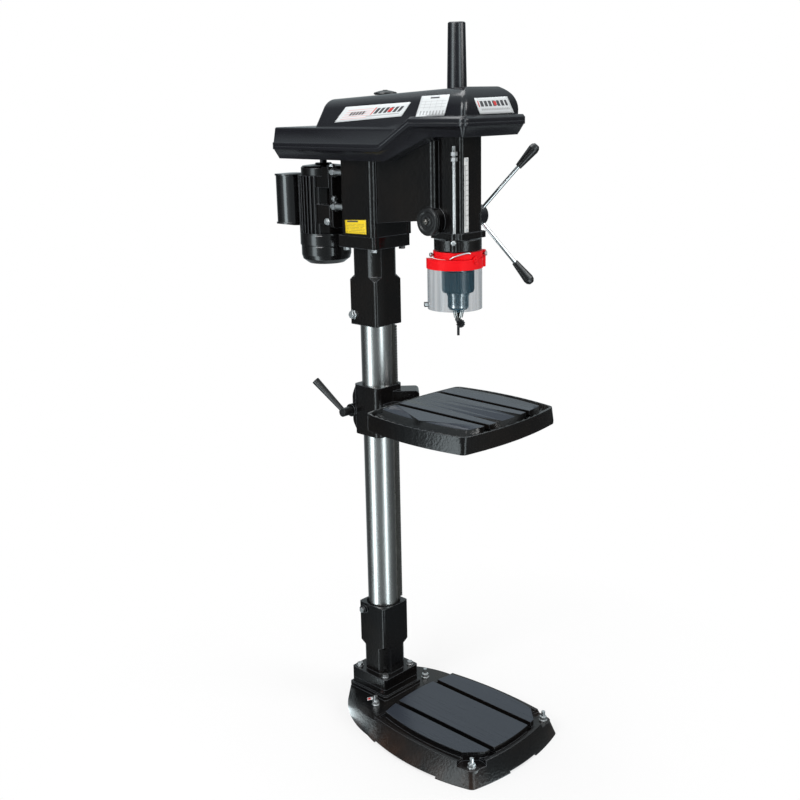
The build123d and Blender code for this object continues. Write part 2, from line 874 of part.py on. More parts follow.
def head_casting():
    rise = pan_underside(barrel_front)
    body = Pos(0, (head_front + head_rear) / 2, 0) * round_block(
        head_half, (head_rear - head_front) / 2, head_corner, head_bottom, head_top
    )
    arm = make_face(
        Polyline(
            (head_front + 20, arm_bottom),
            (arm_end, arm_bottom + arm_rise),
            (arm_end, pan_underside(arm_end)),
            (slope_start, head_top),
            (head_front + 20, head_top),
            close=True,
        )
    )
    arm_body = extrude(Plane.YZ * arm, arm_half, both=True)
    body += fillet(arm_body.edges().filter_by(Axis.Z), arm_corner)
    depth = feed_y - barrel_front
    barrel = Pos(0, barrel_front + depth / 2, 0) * round_block(
        barrel_half, depth / 2, barrel_corner, barrel_bottom, rise
    )
    body += barrel
    foot_depth = (feed_y - barrel_front + 10) / 2
    foot = Pos(0, barrel_front - 4 + foot_depth, 0) * round_block(
        barrel_foot_half, foot_depth, barrel_corner, barrel_bottom, barrel_bottom + barrel_foot_height
    )
    body += foot
    stop_x, stop_y = stop_dx, spindle_y + stop_dy
    lug_r = stop_rod_r + 6
    body += pillar(lug_r, barrel_bottom, barrel_bottom + barrel_foot_height, stop_x, stop_y)
    body += rod(spring_cup_r, (0, feed_y, feed_z), (spring_boss_x, feed_y, feed_z))
    body += rod(hub_neck_r + 6, (0, feed_y, feed_z), (hub_start - 2, feed_y, feed_z))
    inside = head_half - head_wall
    for side in (-1, 1):
        body += pillar(bead_r, head_bottom, head_top, side * (head_half - bead_inset), head_front + bead_inset)
    room = block(-inside, inside, head_front + head_wall, head_rear - head_wall, head_bottom + head_wall, head_top + 1)
    arm_in = arm_half - head_wall
    arm_room = make_face(
        Polyline(
            (head_front + 20, arm_bottom + head_wall),
            (arm_end + 40, arm_bottom + arm_rise + head_wall),
            (arm_end + 40, head_top + 40),
            (head_front + 20, head_top + 40),
            close=True,
        )
    )
    body -= room
    body -= extrude(Plane.YZ * arm_room, arm_in, both=True)
    body += pillar(idler_pivot_r + 6, head_bottom, head_top, 0, idler_pivot_y)
    body -= pillar(idler_pivot_r + seat_gap, head_bottom + head_wall, head_top + 1, 0, idler_pivot_y)
    body -= pillar(quill_r + running_gap, barrel_bottom - 1, quill_top + 6, 0, spindle_y)
    body -= pillar(spindle_shoulder_r + 3, quill_top, rise + 1, 0, spindle_y)
    body -= pillar(drive_bearing_r + seat_gap, drive_sleeve_bottom + 4, rise + 1, 0, spindle_y)
    body -= pillar(stop_rod_r + free_gap, barrel_bottom - 1, barrel_bottom + barrel_foot_height + 1, stop_x, stop_y)
    gear_room = feed_r + quill_rack_module + free_gap
    body -= rod(
        max(gear_room, feed_bearing_r + running_gap),
        (-feed_pinion_half - free_gap, feed_y, feed_z),
        (hub_start, feed_y, feed_z),
    )
    body -= rod(feed_shaft_r + running_gap, (0, feed_y, feed_z), (-head_half, feed_y, feed_z))
    cup = spring_cup_inner + seat_gap
    body -= rod(cup, (-barrel_half - 3, feed_y, feed_z), (-head_half, feed_y, feed_z))
    above = make_face(
        Polyline(
            (2 * barrel_front, rise),
            (slope_end, rise),
            (slope_start, head_top),
            (2 * head_rear, head_top),
            (2 * head_rear, head_top + rise),
            (2 * barrel_front, head_top + rise),
            close=True,
        )
    )
    body -= extrude(Plane.YZ * above, 2 * head_half, both=True)
    slit_top = barrel_bottom + barrel_slit_height
    body -= block(
        barrel_slit_x, barrel_slit_x + barrel_slit, barrel_front - 20, spindle_y, barrel_bottom - 1, slit_top
    )
    for x in (-slide_rod_x, slide_rod_x):
        for z in slide_rod_z:
            body -= rod(slide_rod_r + running_gap, (x, head_rear - head_wall - 1, z), (x, head_rear + 1, z))
    for side in (-1, 1):
        for end in (-1, 1):
            x, y = side * bracket_bolt_at, end * bracket_bolt_at
            if y < head_rear - bolt_r:
                body += pillar(bolt_washer_r, head_bottom, head_bottom + bolt_reach + 5, x, y) & block(
                    -head_half, head_half, head_front, head_rear, head_bottom, head_top
                )
            body -= pillar(bolt_r + seat_gap, head_bottom - 1, head_bottom + bolt_reach + 2, x, y)
    return body


# Belt cover
def cover_outline(inset):
    half = cover_half - inset
    length = cover_rear - cover_front - 2 * inset
    face = Pos(0, (cover_rear + cover_front) / 2) * Rectangle(2 * half, length)
    front = fillet(face.vertices().sort_by(Axis.Y)[:2], max(cover_front_r - inset, 1))
    return fillet(front.vertices().sort_by(Axis.Y)[-2:], max(cover_rear_r - inset, 1))


def cover_stage(low_inset, high_inset, low, high):
    # A tray between two levels that steps up along the seam's slope from the rear to the front.
    rise = seam_front - seam_rear
    rear = loft([Pos(0, 0, low) * cover_outline(low_inset), Pos(0, 0, high) * cover_outline(high_inset)], ruled=True)
    front = Pos(0, 0, rise) * rear
    half_low, half_high = cover_half - low_inset, cover_half - high_inset
    section = make_face(
        Polyline((-half_low, low), (half_low, low), (half_high, high), (-half_high, high), close=True)
    )
    slope = loft(
        [Pos(0, slope_start, 0) * (Plane.XZ * section), Pos(0, slope_end, rise) * (Plane.XZ * section)], ruled=True
    )
    far = 2 * cover_half
    rear &= block(-far, far, slope_start, 2 * cover_rear, low - 1, high + 1)
    front &= block(-far, far, 2 * cover_front, slope_end, low + rise - 1, high + rise + 1)
    return rear + slope + front


def below_seam(depth):
    rise = seam_front - seam_rear
    face = make_face(
        Polyline(
            (2 * cover_rear, seam_rear),
            (slope_start, seam_rear),
            (slope_end, seam_rear + rise),
            (2 * cover_front, seam_rear + rise),
            (2 * cover_front, seam_rear - depth),
            (2 * cover_rear, seam_rear - depth),
            close=True,
        )
    )
    return extrude(Plane.YZ * face, 2 * cover_half, both=True)


def cover_pan():
    low = seam_rear - pan_depth
    edge = seam_rear - seam_band
    body = cover_stage(pan_inset, seam_proud, low, edge)
    body += cover_stage(-seam_proud, -seam_proud, edge, seam_rear)
    floor_z = low + cover_wall
    body -= cover_stage(pan_inset + 2, seam_proud + cover_wall, floor_z, edge)
    body -= cover_stage(seam_proud + cover_wall, seam_proud + cover_wall, edge, seam_rear + 1)
    shaft_slot = motor_shaft_r + 8
    body -= block(-shaft_slot, shaft_slot, motor_y - 34, motor_y + shaft_slot, low - 1, floor_z + 1)
    body -= pillar(idler_pivot_r + hole_gap, low - 1, floor_z + 1, 0, idler_pivot_y)
    front_low = seam_front - pan_depth
    hole_r = sleeve_outer_r + 3
    body -= pillar(hole_r, pan_underside(spindle_y + hole_r) - 1, front_low + cover_wall + 1, 0, spindle_y)
    return body


def dome_slope():
    return (dome_front_z - dome_rear_z) / (dome_rear - dome_front)


def dome(inset):
    # A long section with round shoulders, cut to length by a side view with a leaning front and rear.
    lean = tan(radians(dome_lean))
    depth = dome_front_z - tail_top + 30
    half = dome_half - inset
    section = make_face(
        Polyline(
            (-half - lean * depth, -depth), (half + lean * depth, -depth), (half, -inset), (-half, -inset), close=True
        )
    )
    section = fillet(section.vertices().sort_by(Axis.Y)[-2:], dome_shoulder_r - inset)
    start_y = 2 * dome_rear
    origin = (0, start_y, dome_height(start_y))
    plane = Plane(origin, x_dir=(1, 0, 0), z_dir=(0, -1, dome_slope()))
    body = extrude(plane * section, 2 * (dome_rear - dome_front))
    foot = tail_top - tail_edge_r - 1
    top = dome_front_z + 20
    front, rear = dome_front + inset, dome_rear - inset
    side = make_face(
        Polyline(
            (front - lean * (dome_front_z - foot), foot),
            (front + lean * (top - dome_front_z), top),
            (rear - lean * (top - dome_rear_z), top),
            (rear + lean * (dome_rear_z - foot), foot),
            close=True,
        )
    )
    body &= extrude(Plane.YZ * side, 2 * cover_half, both=True)
    for heading, radius in ((-1, dome_front_r), (1, dome_rear_r)):
        faces = [face for face in body.faces() if face.normal_at().Y * heading > 0.8]
        wall = max(faces, key=lambda face: face.area)
        edges = [edge for edge in wall.edges() if edge.center().Z > foot + 1]
        body = fillet(edges, radius - inset)
    return body & (Pos(0, 0, foot) * extrude(cover_outline(tail_inset + inset), 2 * depth))


def lid_solid(inset, drop):
    foot = seam_rear - 2
    slope = tail_inset / (tail_top - seam_rear)
    low = cover_outline(inset - slope * 2)
    high = cover_outline(tail_inset + inset)
    tail = loft([Pos(0, 0, foot) * low, Pos(0, 0, tail_top - drop) * high], ruled=True)
    crown = tail.faces().sort_by(Axis.Z)[-1]
    return fillet(crown.edges(), tail_edge_r - inset) + dome(inset)


def dome_height(y):
    return dome_rear_z + dome_slope() * (dome_rear - y)


def lid():
    body = lid_solid(0, 0) - lid_solid(cover_wall, cover_wall)
    body -= below_seam(60)
    edge = seam_rear + seam_band
    band = cover_stage(-seam_proud, -seam_proud, seam_rear, edge)
    band += cover_stage(-seam_proud, lid_band_slope, edge, edge + lid_band_slope)
    body += band - cover_stage(lid_flange, lid_flange, seam_rear - 1, edge + lid_band_slope + 1)
    body -= pillar(tube_base_r + seat_gap, tube_bottom - 20, tube_top, 0, spindle_y)
    return body - pillar(post_neck_r + hole_gap, dome_rear_z - 30, tube_top, 0, idler_y)


def spindle_tube():
    deck = dome_height(spindle_y) - cover_wall - 1.5
    profile = [
        (tube_bore_r, deck - 4),
        (tube_flange_r, deck - 4),
        (tube_flange_r, deck),
        (tube_base_r, deck),
        (tube_base_r, deck + 10),
        (tube_top_r, tube_top - 2),
        (tube_top_r - 2, tube_top),
        (0, tube_top),
        (0, tube_top - cover_wall),
        (tube_bore_r, tube_top - cover_wall),
    ]
    return Pos(0, spindle_y, 0) * turned(profile)


def lid_knob():
    seat = dome_height(idler_y) + 1.5
    profile = [
        (post_neck_r + running_gap, seat),
        (lid_knob_r - 3, seat),
        (lid_knob_r, seat + 2),
        (lid_knob_r - 1, seat + 5),
        (lid_knob_r - 12, seat + lid_knob_height - 2),
        (0, seat + lid_knob_height),
        (0, post_top + 0.5),
        (post_neck_r + running_gap, post_top + 0.5),
    ]
    return Pos(0, idler_y, 0) * turned(profile)


# Pulleys and belts
def step_profile(steps, low):
    points = []
    for level, radius in enumerate(steps):
        z = low + level * step_pitch
        middle = z + step_pitch / 2
        points += [
            (radius, z),
            (radius, middle - groove_width / 2),
            (radius - groove_depth, middle - groove_bottom_width / 2),
            (radius - groove_depth, middle + groove_bottom_width / 2),
            (radius, middle + groove_width / 2),
            (radius, z + step_pitch),
        ]
    return points


def pulley(steps, low, bore):
    top = low + step_pitch * len(steps)
    profile = [(bore, low)] + step_profile(steps, low) + [(bore, top)]
    return turned(profile)


def motor_pulley():
    return Pos(0, motor_y, 0) * pulley(motor_steps, step_low_z, motor_shaft_r + seat_gap)


def idler_pulley():
    low = step_profile(idler_low_steps, step_low_z)
    high = step_profile(idler_high_steps, step_high_z)
    top = step_high_z + step_pitch * len(idler_high_steps)
    bore = idler_post_r + running_gap
    return Pos(0, idler_y, 0) * turned([(bore, step_low_z)] + low + high + [(bore, top)])


def spindle_pulley():
    return Pos(0, spindle_y, 0) * pulley(spindle_steps, step_high_z, sleeve_outer_r + seat_gap)


def drive_sleeve():
    top = step_high_z + step_pitch * len(spindle_steps)
    profile = [
        (spindle_r + running_gap, drive_sleeve_bottom),
        (sleeve_outer_r, drive_sleeve_bottom),
        (sleeve_outer_r, top + 3),
        (spindle_r + running_gap, top + 3),
    ]
    return Pos(0, spindle_y, 0) * turned(profile)


def drive_bearings():
    pieces = []
    low = drive_sleeve_bottom + 4
    high = pan_underside(spindle_y + drive_bearing_r) - bearing_height - 1
    for z in (low, high):
        ring = pillar(drive_bearing_r, z, z + bearing_height, 0, spindle_y)
        pieces.append(ring - pillar(sleeve_outer_r + running_gap, z - 1, z + bearing_height + 1, 0, spindle_y))
    return pieces


def belt_loop(y0, r0, y1, r1, z):
    # The belt's inner face lies clear of the groove's floor, and its sides clear of the groove's walls.
    half = groove_bottom_width / 2 - belt_gap
    loops = []
    for depth in (groove_depth - belt_height - belt_gap, groove_depth - belt_gap):
        ends = Pos(0, y0) * Circle(r0 - depth) + Pos(0, y1) * Circle(r1 - depth)
        loops.append(make_hull(ends.edges()))
    outer, inner = loops
    return Pos(0, 0, z - half) * extrude(outer - inner, 2 * half)


def belts():
    motor_z = step_low_z + (motor_belt_step + 0.5) * step_pitch
    spindle_z = step_high_z + (spindle_belt_step + 0.5) * step_pitch
    return [
        belt_loop(motor_y, motor_steps[motor_belt_step], idler_y, idler_low_steps[motor_belt_step], motor_z),
        belt_loop(
            idler_y, idler_high_steps[spindle_belt_step], spindle_y, spindle_steps[spindle_belt_step], spindle_z
        ),
    ]


def idler_arm():
    low, high = idler_arm_z, idler_arm_z + idler_arm_height
    ends = Pos(0, idler_pivot_y) * Circle(idler_pivot_r + 6) + Pos(0, idler_y) * Circle(idler_post_r + 6)
    body = Pos(0, 0, low) * extrude(make_hull(ends.edges()), high - low)
    body += pillar(idler_pivot_r, head_bottom + head_wall + 40, high, 0, idler_pivot_y)
    top = step_high_z + step_pitch * len(idler_high_steps) + 2
    body += pillar(idler_post_r, high, top, 0, idler_y)
    return body + pillar(post_neck_r, top, post_top, 0, idler_y)


# Motor
def motor_housing():
    body = pillar(motor_r, motor_bottom, motor_top, 0, motor_y)
    fins = []
    for fin in range(fin_count):
        heading = 360 * fin / fin_count + 5
        if abs((heading + 90 + 180) % 360 - 180) < 50:
            continue
        if abs((heading - 90 + 180) % 360 - 180) < 28:
            continue
        blade = block(motor_r - 3, fin_r, -fin_width / 2, fin_width / 2, motor_bottom, motor_top)
        fins.append(Pos(0, motor_y, 0) * Rot(0, 0, heading) * blade)
    body += fins
    back = plate_front + plate_thickness
    for low, high in foot_bands:
        for side in (-1, 1):
            x0, x1 = sorted((side * foot_inner, side * foot_half))
            body += block(x0, x1, back, motor_y - 15, low, min(high, motor_top))
            if high > motor_top:
                body += block(x0, x1, back, foot_tip, low, high)
    body += block(-box_neck_half, box_neck_half, motor_y + 20, motor_y + fin_r + 4, box_bottom + 20, box_top - 20)
    return body - pillar(motor_shaft_r + 6, motor_bottom - 1, motor_top + 1, 0, motor_y)


def end_shield():
    profile = [
        (motor_shaft_r + running_gap, motor_top),
        (shield_r, motor_top),
        (shield_r, shield_top - 10),
        (shield_r - 4, shield_top - 6),
        (motor_shaft_r + 12, shield_top - 3),
        (motor_shaft_r + 10, shield_top),
        (motor_shaft_r + running_gap, shield_top),
    ]
    return Pos(0, motor_y, 0) * turned(profile)


def fan_cover():
    rim = fan_r
    low = fan_bottom
    inner_drop = fan_wall
    profile = [
        (0, low),
        (rim - fan_round - 4, low),
        (rim - 5, low + fan_round - 4),
        (rim - 2, low + fan_round + 6),
        (rim - 2, fan_step_z),
        (rim, fan_step_z),
        (rim, motor_bottom),
        (rim - fan_wall, motor_bottom),
        (rim - fan_wall - 2, fan_step_z - fan_wall),
        (rim - fan_wall - 2, low + fan_round + 6),
        (rim - 5 - fan_wall, low + fan_round - 3),
        (rim - fan_round - 5, low + inner_drop),
        (0, low + inner_drop),
    ]
    return Pos(0, motor_y, 0) * turned(profile)


def capacitor_box():
    front = motor_y + fin_r + 4
    depth = (box_back - front) / 2
    box = Pos(0, front + depth, 0) * round_block(box_half, depth, box_corner, box_bottom, box_top)
    for z in (box_bottom, box_top - box_lip_height):
        box += Pos(0, front + depth, 0) * round_block(
            box_half + box_lip, depth, box_corner, z, z + box_lip_height
        )
    return box


def motor_plate():
    back = plate_front + plate_thickness
    plate = RectangleRounded(2 * plate_half, plate_top - plate_bottom, plate_corner)
    face = Plane((0, back, (plate_top + plate_bottom) / 2), x_dir=(1, 0, 0), z_dir=(0, -1, 0)) * plate
    body = extrude(face, plate_thickness)
    for x in (-slide_rod_x, slide_rod_x):
        for z in slide_rod_z:
            body -= rod(slide_rod_r + seat_gap, (x, plate_front - 1, z), (x, back + 1, z))
    return body


def slide_rods():
    pieces = []
    back = plate_front + plate_thickness
    for x in (-slide_rod_x, slide_rod_x):
        for z in slide_rod_z:
            bar = rod(slide_rod_r, (x, slide_rod_start, z), (x, back, z))
            bar += hexagon(slide_nut_flats, (x, plate_front - slide_nut_height, z), (x, plate_front, z))
            pieces.append(bar)
    return pieces


def motor_shaft():
    top = step_low_z + step_pitch * len(motor_steps)
    return pillar(motor_shaft_r, motor_bottom - 20, top + 2, 0, motor_y)


# Spindle, quill and feed
def quill():
    body = pillar(quill_r, quill_bottom, quill_top)
    pitch = pi * quill_rack_module
    outer = quill_rack_pitch + quill_rack_module
    low = feed_z - pitch * 4
    high = low + pitch * quill_rack_teeth
    teeth = rack_profile(quill_rack_module, low, high, feed_z, 0, outer, tooth_play / 2)
    plane = Plane((0, 0, 0), x_dir=(0, 1, 0), z_dir=(1, 0, 0))
    cutter = block(-quill_r, quill_r, outer - 2.25 * quill_rack_module, 2 * quill_r, low, high)
    body -= cutter - extrude(plane * teeth, 2 * quill_r, both=True)
    body -= pillar(quill_bore, quill_bottom - 1, quill_top + 1)
    for z in (quill_bottom, quill_top - bearing_height):
        body -= pillar(bearing_r + seat_gap, z - 1, z + bearing_height + 1)
    return Pos(0, spindle_y, 0) * body


def quill_bearings():
    pieces = []
    for z in (quill_bottom, quill_top - bearing_height):
        ring = pillar(bearing_r, z, z + bearing_height, 0, spindle_y)
        pieces.append(ring - pillar(spindle_r + running_gap, z - 1, z + bearing_height + 1, 0, spindle_y))
    return pieces


def quill_collar():
    body = pillar(collar_r, collar_bottom, collar_top) - pillar(quill_r + seat_gap, collar_bottom - 1, collar_top + 1)
    body += pillar(stop_rod_r + 5, collar_bottom, collar_top, stop_dx, stop_dy)
    body -= block(collar_r / 2, collar_r + 1, -2, 2, collar_bottom - 1, collar_top + 1)
    body -= pillar(stop_rod_r + seat_gap, collar_bottom - 1, collar_top + 1, stop_dx, stop_dy)
    return Pos(0, spindle_y, 0) * body


def depth_rod():
    return pillar(stop_rod_r, collar_bottom, stop_rod_top, stop_dx, spindle_y + stop_dy)


def depth_nuts():
    pieces = []
    x, y = stop_dx, spindle_y + stop_dy
    for z in stop_nuts_z:
        nut = hexagon(stop_nut_flats, (x, y, z), (x, y, z + stop_nut_height))
        pieces.append(nut - pillar(stop_rod_r + running_gap, z - 1, z + stop_nut_height + 1, x, y))
    return pieces


def spindle():
    low = quill_bottom + bearing_height + 1
    high = quill_top - bearing_height - 1
    profile = [
        (0, spindle_nose_bottom),
        (spindle_r - 2.5, spindle_nose_bottom),
        (spindle_r - 1, chuck_top + 1),
        (spindle_r + 5, chuck_top + 1),
        (spindle_r + 5, quill_bottom - 0.5),
        (spindle_r, quill_bottom - 0.5),
        (spindle_r, low),
        (spindle_shoulder_r, low),
        (spindle_shoulder_r, high),
        (spindle_r, high),
        (spindle_r, spindle_top),
        (0, spindle_top),
    ]
    return Pos(0, spindle_y, 0) * turned(profile)


def jaw_axis(heading):
    lean = radians(jaw_lean)
    turn = radians(heading)
    return Vector(sin(lean) * cos(turn), sin(lean) * sin(turn), cos(lean))


def jaw_line(heading):
    turn = radians(heading)
    start = Vector(cos(turn), sin(turn), 0) * (jaw_r + 0.6) + Vector(0, 0, jaw_tip_z)
    return start, jaw_axis(heading)


def jaw_headings():
    return [key_heading + 60 + 360 * jaw / jaw_count for jaw in range(jaw_count)]


def jaw(heading):
    start, along = jaw_line(heading)
    body = rod(jaw_r, start - along * 8, start + along * jaw_length)
    flat = key_bar_r + rack_gap
    turn = Rot(0, 0, heading)
    body -= turn * block(-4 * jaw_r, flat, -4 * jaw_r, 4 * jaw_r, jaw_tip_z - 20, jaw_tip_z + 2 * jaw_length)
    body -= block(-4 * jaw_r, 4 * jaw_r, -4 * jaw_r, 4 * jaw_r, jaw_tip_z - 40, jaw_tip_z)
    return Pos(0, spindle_y, 0) * body


def chuck_body():
    profile = [
        (0, chuck_nose_bottom),
        (chuck_nose_r - 3, chuck_nose_bottom),
        (chuck_nose_r, chuck_nose_bottom + 5),
        (chuck_nose_r, chuck_nose_top),
        (chuck_core_r, chuck_nose_top),
        (chuck_core_r, chuck_top - chuck_cap_height),
        (chuck_cap_r, chuck_top - chuck_cap_height),
        (chuck_cap_r, chuck_top),
        (0, chuck_top),
    ]
    body = turned(profile)
    for heading in jaw_headings():
        start, along = jaw_line(heading)
        body -= rod(jaw_r + running_gap, start, start + along * (jaw_length + 24))
    body -= pillar(key_bar_r + 3, chuck_nose_bottom - 1, spindle_nose_bottom - 4)
    low_r, high_r = spindle_r - 2.5 + seat_gap, spindle_r - 1 + seat_gap
    taper = [
        (0, spindle_nose_bottom - 5),
        (low_r, spindle_nose_bottom - 5),
        (low_r, spindle_nose_bottom),
        (high_r, chuck_top + 1),
        (0, chuck_top + 1),
    ]
    return Pos(0, spindle_y, 0) * (body - turned(taper))


def chuck_sleeve():
    lip = sleeve_bottom + 5
    profile = [
        (chuck_core_r + free_gap / 2, sleeve_bottom),
        (sleeve_r - 2, sleeve_bottom),
        (sleeve_r, sleeve_bottom + sleeve_tooth_height),
        (sleeve_r, sleeve_top - 2),
        (sleeve_r - 2, sleeve_top),
        (sleeve_cavity_r, sleeve_top),
        (sleeve_cavity_r, lip),
        (chuck_core_r + free_gap / 2, lip),
    ]
    body = turned(profile)
    width = pi * sleeve_r / sleeve_teeth
    notch = block(sleeve_r - sleeve_tooth_depth, sleeve_r + 5, -width / 2, width / 2, sleeve_bottom - 1,
                  sleeve_bottom + sleeve_tooth_height)
    body -= [Rot(0, 0, 360 * tooth / sleeve_teeth) * notch for tooth in range(sleeve_teeth)]
    return Pos(0, spindle_y, 0) * body


def chuck_key():
    turn = radians(key_heading)
    along = Vector(cos(turn), sin(turn), 0)
    hub = Vector(0, spindle_y, key_z)
    body = rod(key_body_r, hub - along * key_body_back, hub + along * key_gear_start)
    gear_end = key_gear_start + key_gear_length
    gear = cone_rod(key_gear_r, key_gear_r - 2.5, hub + along * key_gear_start, hub + along * gear_end)
    side = Vector(-sin(turn), cos(turn), 0)
    for tooth in range(key_gear_teeth):
        spin = 2 * pi * tooth / key_gear_teeth
        out = side * cos(spin) + Vector(0, 0, sin(spin))
        start = hub + out * (key_gear_r + 0.3)
        gear -= rod(1.5, start + along * (key_gear_start - 1), start - out * 2.5 + along * (gear_end + 1))
    body += gear
    body += rod(key_pilot_r, hub + along * gear_end, hub + along * (gear_end + key_pilot_length))
    body -= pillar(key_bar_r + seat_gap, key_bar_bottom, key_bar_top, 0, spindle_y)
    bar = pillar(key_bar_r, key_bar_bottom, key_bar_top, 0, spindle_y)
    return [body, bar]


def feed_shaft():
    axis = Vector(0, feed_y, feed_z)
    x = Vector(1, 0, 0)
    gear = Plane(axis, x_dir=(0, -1, 0), z_dir=(1, 0, 0)) * gear_outline(quill_rack_module, feed_teeth, tooth_play / 2)
    body = extrude(gear, feed_pinion_half, both=True)
    body += rod(feed_shaft_r, axis + x * (spring_cup_x + cover_wall + 1), axis)
    body += rod(feed_bearing_r, axis + x * feed_bearing_x, axis + x * (hub_start - 1))
    return body + rod(feed_shaft_r, axis, axis + x * (hub_end - 8))


def feed_hub():
    profile = [
        (feed_shaft_r + seat_gap, hub_start),
        (hub_neck_r, hub_start),
        (hub_neck_r, hub_centre_x - 24),
        (hub_r - 2, hub_centre_x - 16),
        (hub_r, hub_centre_x - 13),
        (hub_r, hub_end - 5),
        (hub_r - 5, hub_end),
        (0, hub_end),
        (0, hub_end - 7),
        (feed_shaft_r + seat_gap, hub_end - 7),
    ]
    body = Plane((0, feed_y, feed_z), x_dir=(0, 1, 0), z_dir=(1, 0, 0)) * turned(profile)
    for start, along in feed_lines():
        body -= rod(arm_r + seat_gap, start + along * (feed_shaft_r + 5), start + along * 2 * hub_r)
    return body


def feed_lines():
    lean = radians(arm_tilt)
    lines = []
    for arm in range(arm_count):
        turn = radians(arm_turn + 360 * arm / arm_count)
        along = Vector(sin(lean), -cos(lean) * cos(turn), cos(lean) * sin(turn))
        lines.append((Vector(hub_centre_x, feed_y, feed_z), along))
    return lines


def feed_arms():
    pieces = []
    for start, along in feed_lines():
        pieces.append(rod(arm_r, start + along * (feed_shaft_r + 5.2), start + along * (arm_length + 14)))
    return pieces


def feed_knobs():
    tip = knob_length
    profile = [
        (arm_r + seat_gap, 0),
        (knob_root_r, 0),
        (knob_tip_r, tip - 12),
        (knob_tip_r - 1.5, tip - 5),
        (knob_tip_r - 5.5, tip - 0.5),
        (0, tip),
        (0, 15),
        (arm_r + seat_gap, 15),
    ]
    pieces = []
    for start, along in feed_lines():
        pieces.append(Plane(start + along * arm_length, z_dir=along) * turned(profile))
    return pieces


def spring_cup():
    plane = Plane((0, feed_y, feed_z), x_dir=(0, 1, 0), z_dir=(-1, 0, 0))
    start, end = -spring_boss_x, -spring_cup_x
    profile = [
        (0, end - cover_wall),
        (spring_cup_inner - 2, end - cover_wall),
        (spring_cup_inner - 2, start),
        (spring_cup_r, start),
        (spring_cup_r, end - 3),
        (spring_cup_r - 3, end),
        (spring_cup_r - 9, end),
        (spring_cup_r - 11, end - 1.5),
        (8, end - 1.5),
        (7, end),
        (0, end),
    ]
    return plane * turned(profile)


def return_spring():
    # A flat strip wound in half turns, each half turn a little wider than the last.
    step = (spring_cup_inner - 3 - feed_shaft_r - 1.5) / (2 * spring_turns)
    arcs = []
    radius = feed_shaft_r + 1.2
    x = radius
    side = 1
    for half in range(2 * spring_turns - 1):
        reach = radius + step / 2
        end = x - side * 2 * reach
        middle = (x + end) / 2
        arcs.append(ThreePointArc((x, 0), (middle, side * reach), (end, 0)))
        x = end
        side = -side
        radius = reach + step / 2
    strip = Curve() + arcs
    plane = Plane((0, feed_y, feed_z), x_dir=(0, 1, 0), z_dir=(-1, 0, 0))
    low = barrel_half + 3 + free_gap
    return extrude(plane * Pos(0, 0, low) * trace(strip, spring_strip), spring_width)


# Guard
guard_centre = Vector(0, spindle_y, 0) + Vector(
    guard_shift * cos(radians(guard_shift_heading)), guard_shift * sin(radians(guard_shift_heading)), 0
)


def guard_place(heading, radius, z):
    turn = radians(heading)
    return guard_centre + Vector(radius * cos(turn), radius * sin(turn), z)


def guard_arc(inner, outer, first, last, low, high):
    step = (last - first) / 2
    points = []
    for radius, order in ((outer, (0, 1, 2)), (inner, (2, 1, 0))):
        places = [guard_place(first + step * share, radius, 0) for share in order]
        points.append([(p.X, p.Y) for p in places])
    out, back = points
    sides = Curve() + [
        ThreePointArc(*out),
        Line(out[2], back[0]),
        ThreePointArc(*back),
        Line(back[2], out[0]),
    ]
    return Pos(0, 0, low) * extrude(make_face(sides), high - low)


def guard_clamp():
    low, high = guard_ring_bottom, guard_ring_top
    inner = quill_r + seat_gap
    body = pillar(guard_ring_r, low, high) - pillar(guard_ring_r - guard_ring_wall, low - 1, high - 4)
    body += pillar(inner + 6, low, high)
    body -= pillar(inner, low - 1, high + 1)
    body = Pos(0, spindle_y, 0) * body
    pin = guard_place(guard_pin_heading, guard_band_r, 0)
    body += pillar(guard_knuckle_r, low, high, pin.X, pin.Y)
    towards = Vector(0, spindle_y, 0) - pin
    towards = towards.normalized() * 12
    ear = rod(4, pin + Vector(0, 0, (low + high) / 2), pin + towards + Vector(0, 0, (low + high) / 2))
    body += ear
    return body - pillar(guard_pin_r + seat_gap, low - 1, high - 3, pin.X, pin.Y)


def guard_pin():
    pin = guard_place(guard_pin_heading, guard_band_r, 0)
    return pillar(guard_pin_r, guard_band_bottom + 2, guard_ring_top - 3.5, pin.X, pin.Y)


def guard_band():
    low, high = guard_band_bottom, guard_band_top
    body = guard_arc(guard_band_r - guard_band_wall, guard_band_r, guard_first, guard_pin_heading, low, high)
    body += guard_arc(guard_top_r, guard_band_r, guard_first, guard_pin_heading, high - guard_top_wall, high)
    pin = guard_place(guard_pin_heading, guard_band_r, 0)
    body += pillar(guard_knuckle_r, low, high, pin.X, pin.Y)
    return body - pillar(guard_pin_r + running_gap, low - 1, high + 1, pin.X, pin.Y)


def guard_shield():
    outer = guard_band_r - guard_band_wall - seat_gap
    return guard_arc(
        outer - guard_shield_wall, outer, guard_first + 1, guard_last, guard_shield_bottom, guard_band_top - 6
    )


def guard_bolt():
    turn = guard_first + 8
    outer = guard_band_r - guard_band_wall + 8
    start = guard_place(turn, guard_band_r - guard_band_wall, guard_bolt_z)
    end = guard_place(turn, outer, guard_bolt_z)
    return rod(guard_bolt_r + 2.5, start, end)


# Switch
def switch_box():
    y0, y1 = switch_y
    z0, z1 = switch_z
    face = Plane((head_half, (y0 + y1) / 2, (z0 + z1) / 2), x_dir=(0, 1, 0), z_dir=(1, 0, 0))
    body = extrude(face * RectangleRounded(y1 - y0, z1 - z0, switch_corner), switch_depth)
    middle = (y0 + y1) / 2
    out = head_half + switch_depth
    for z in (start_z, stop_z):
        body -= rod(button_r + free_gap, (out - 14, middle, z), (out + 1, middle, z))
    return body + pillar(gland_r, z0 - gland_height, z0 + 1, head_half + switch_depth / 2, middle)


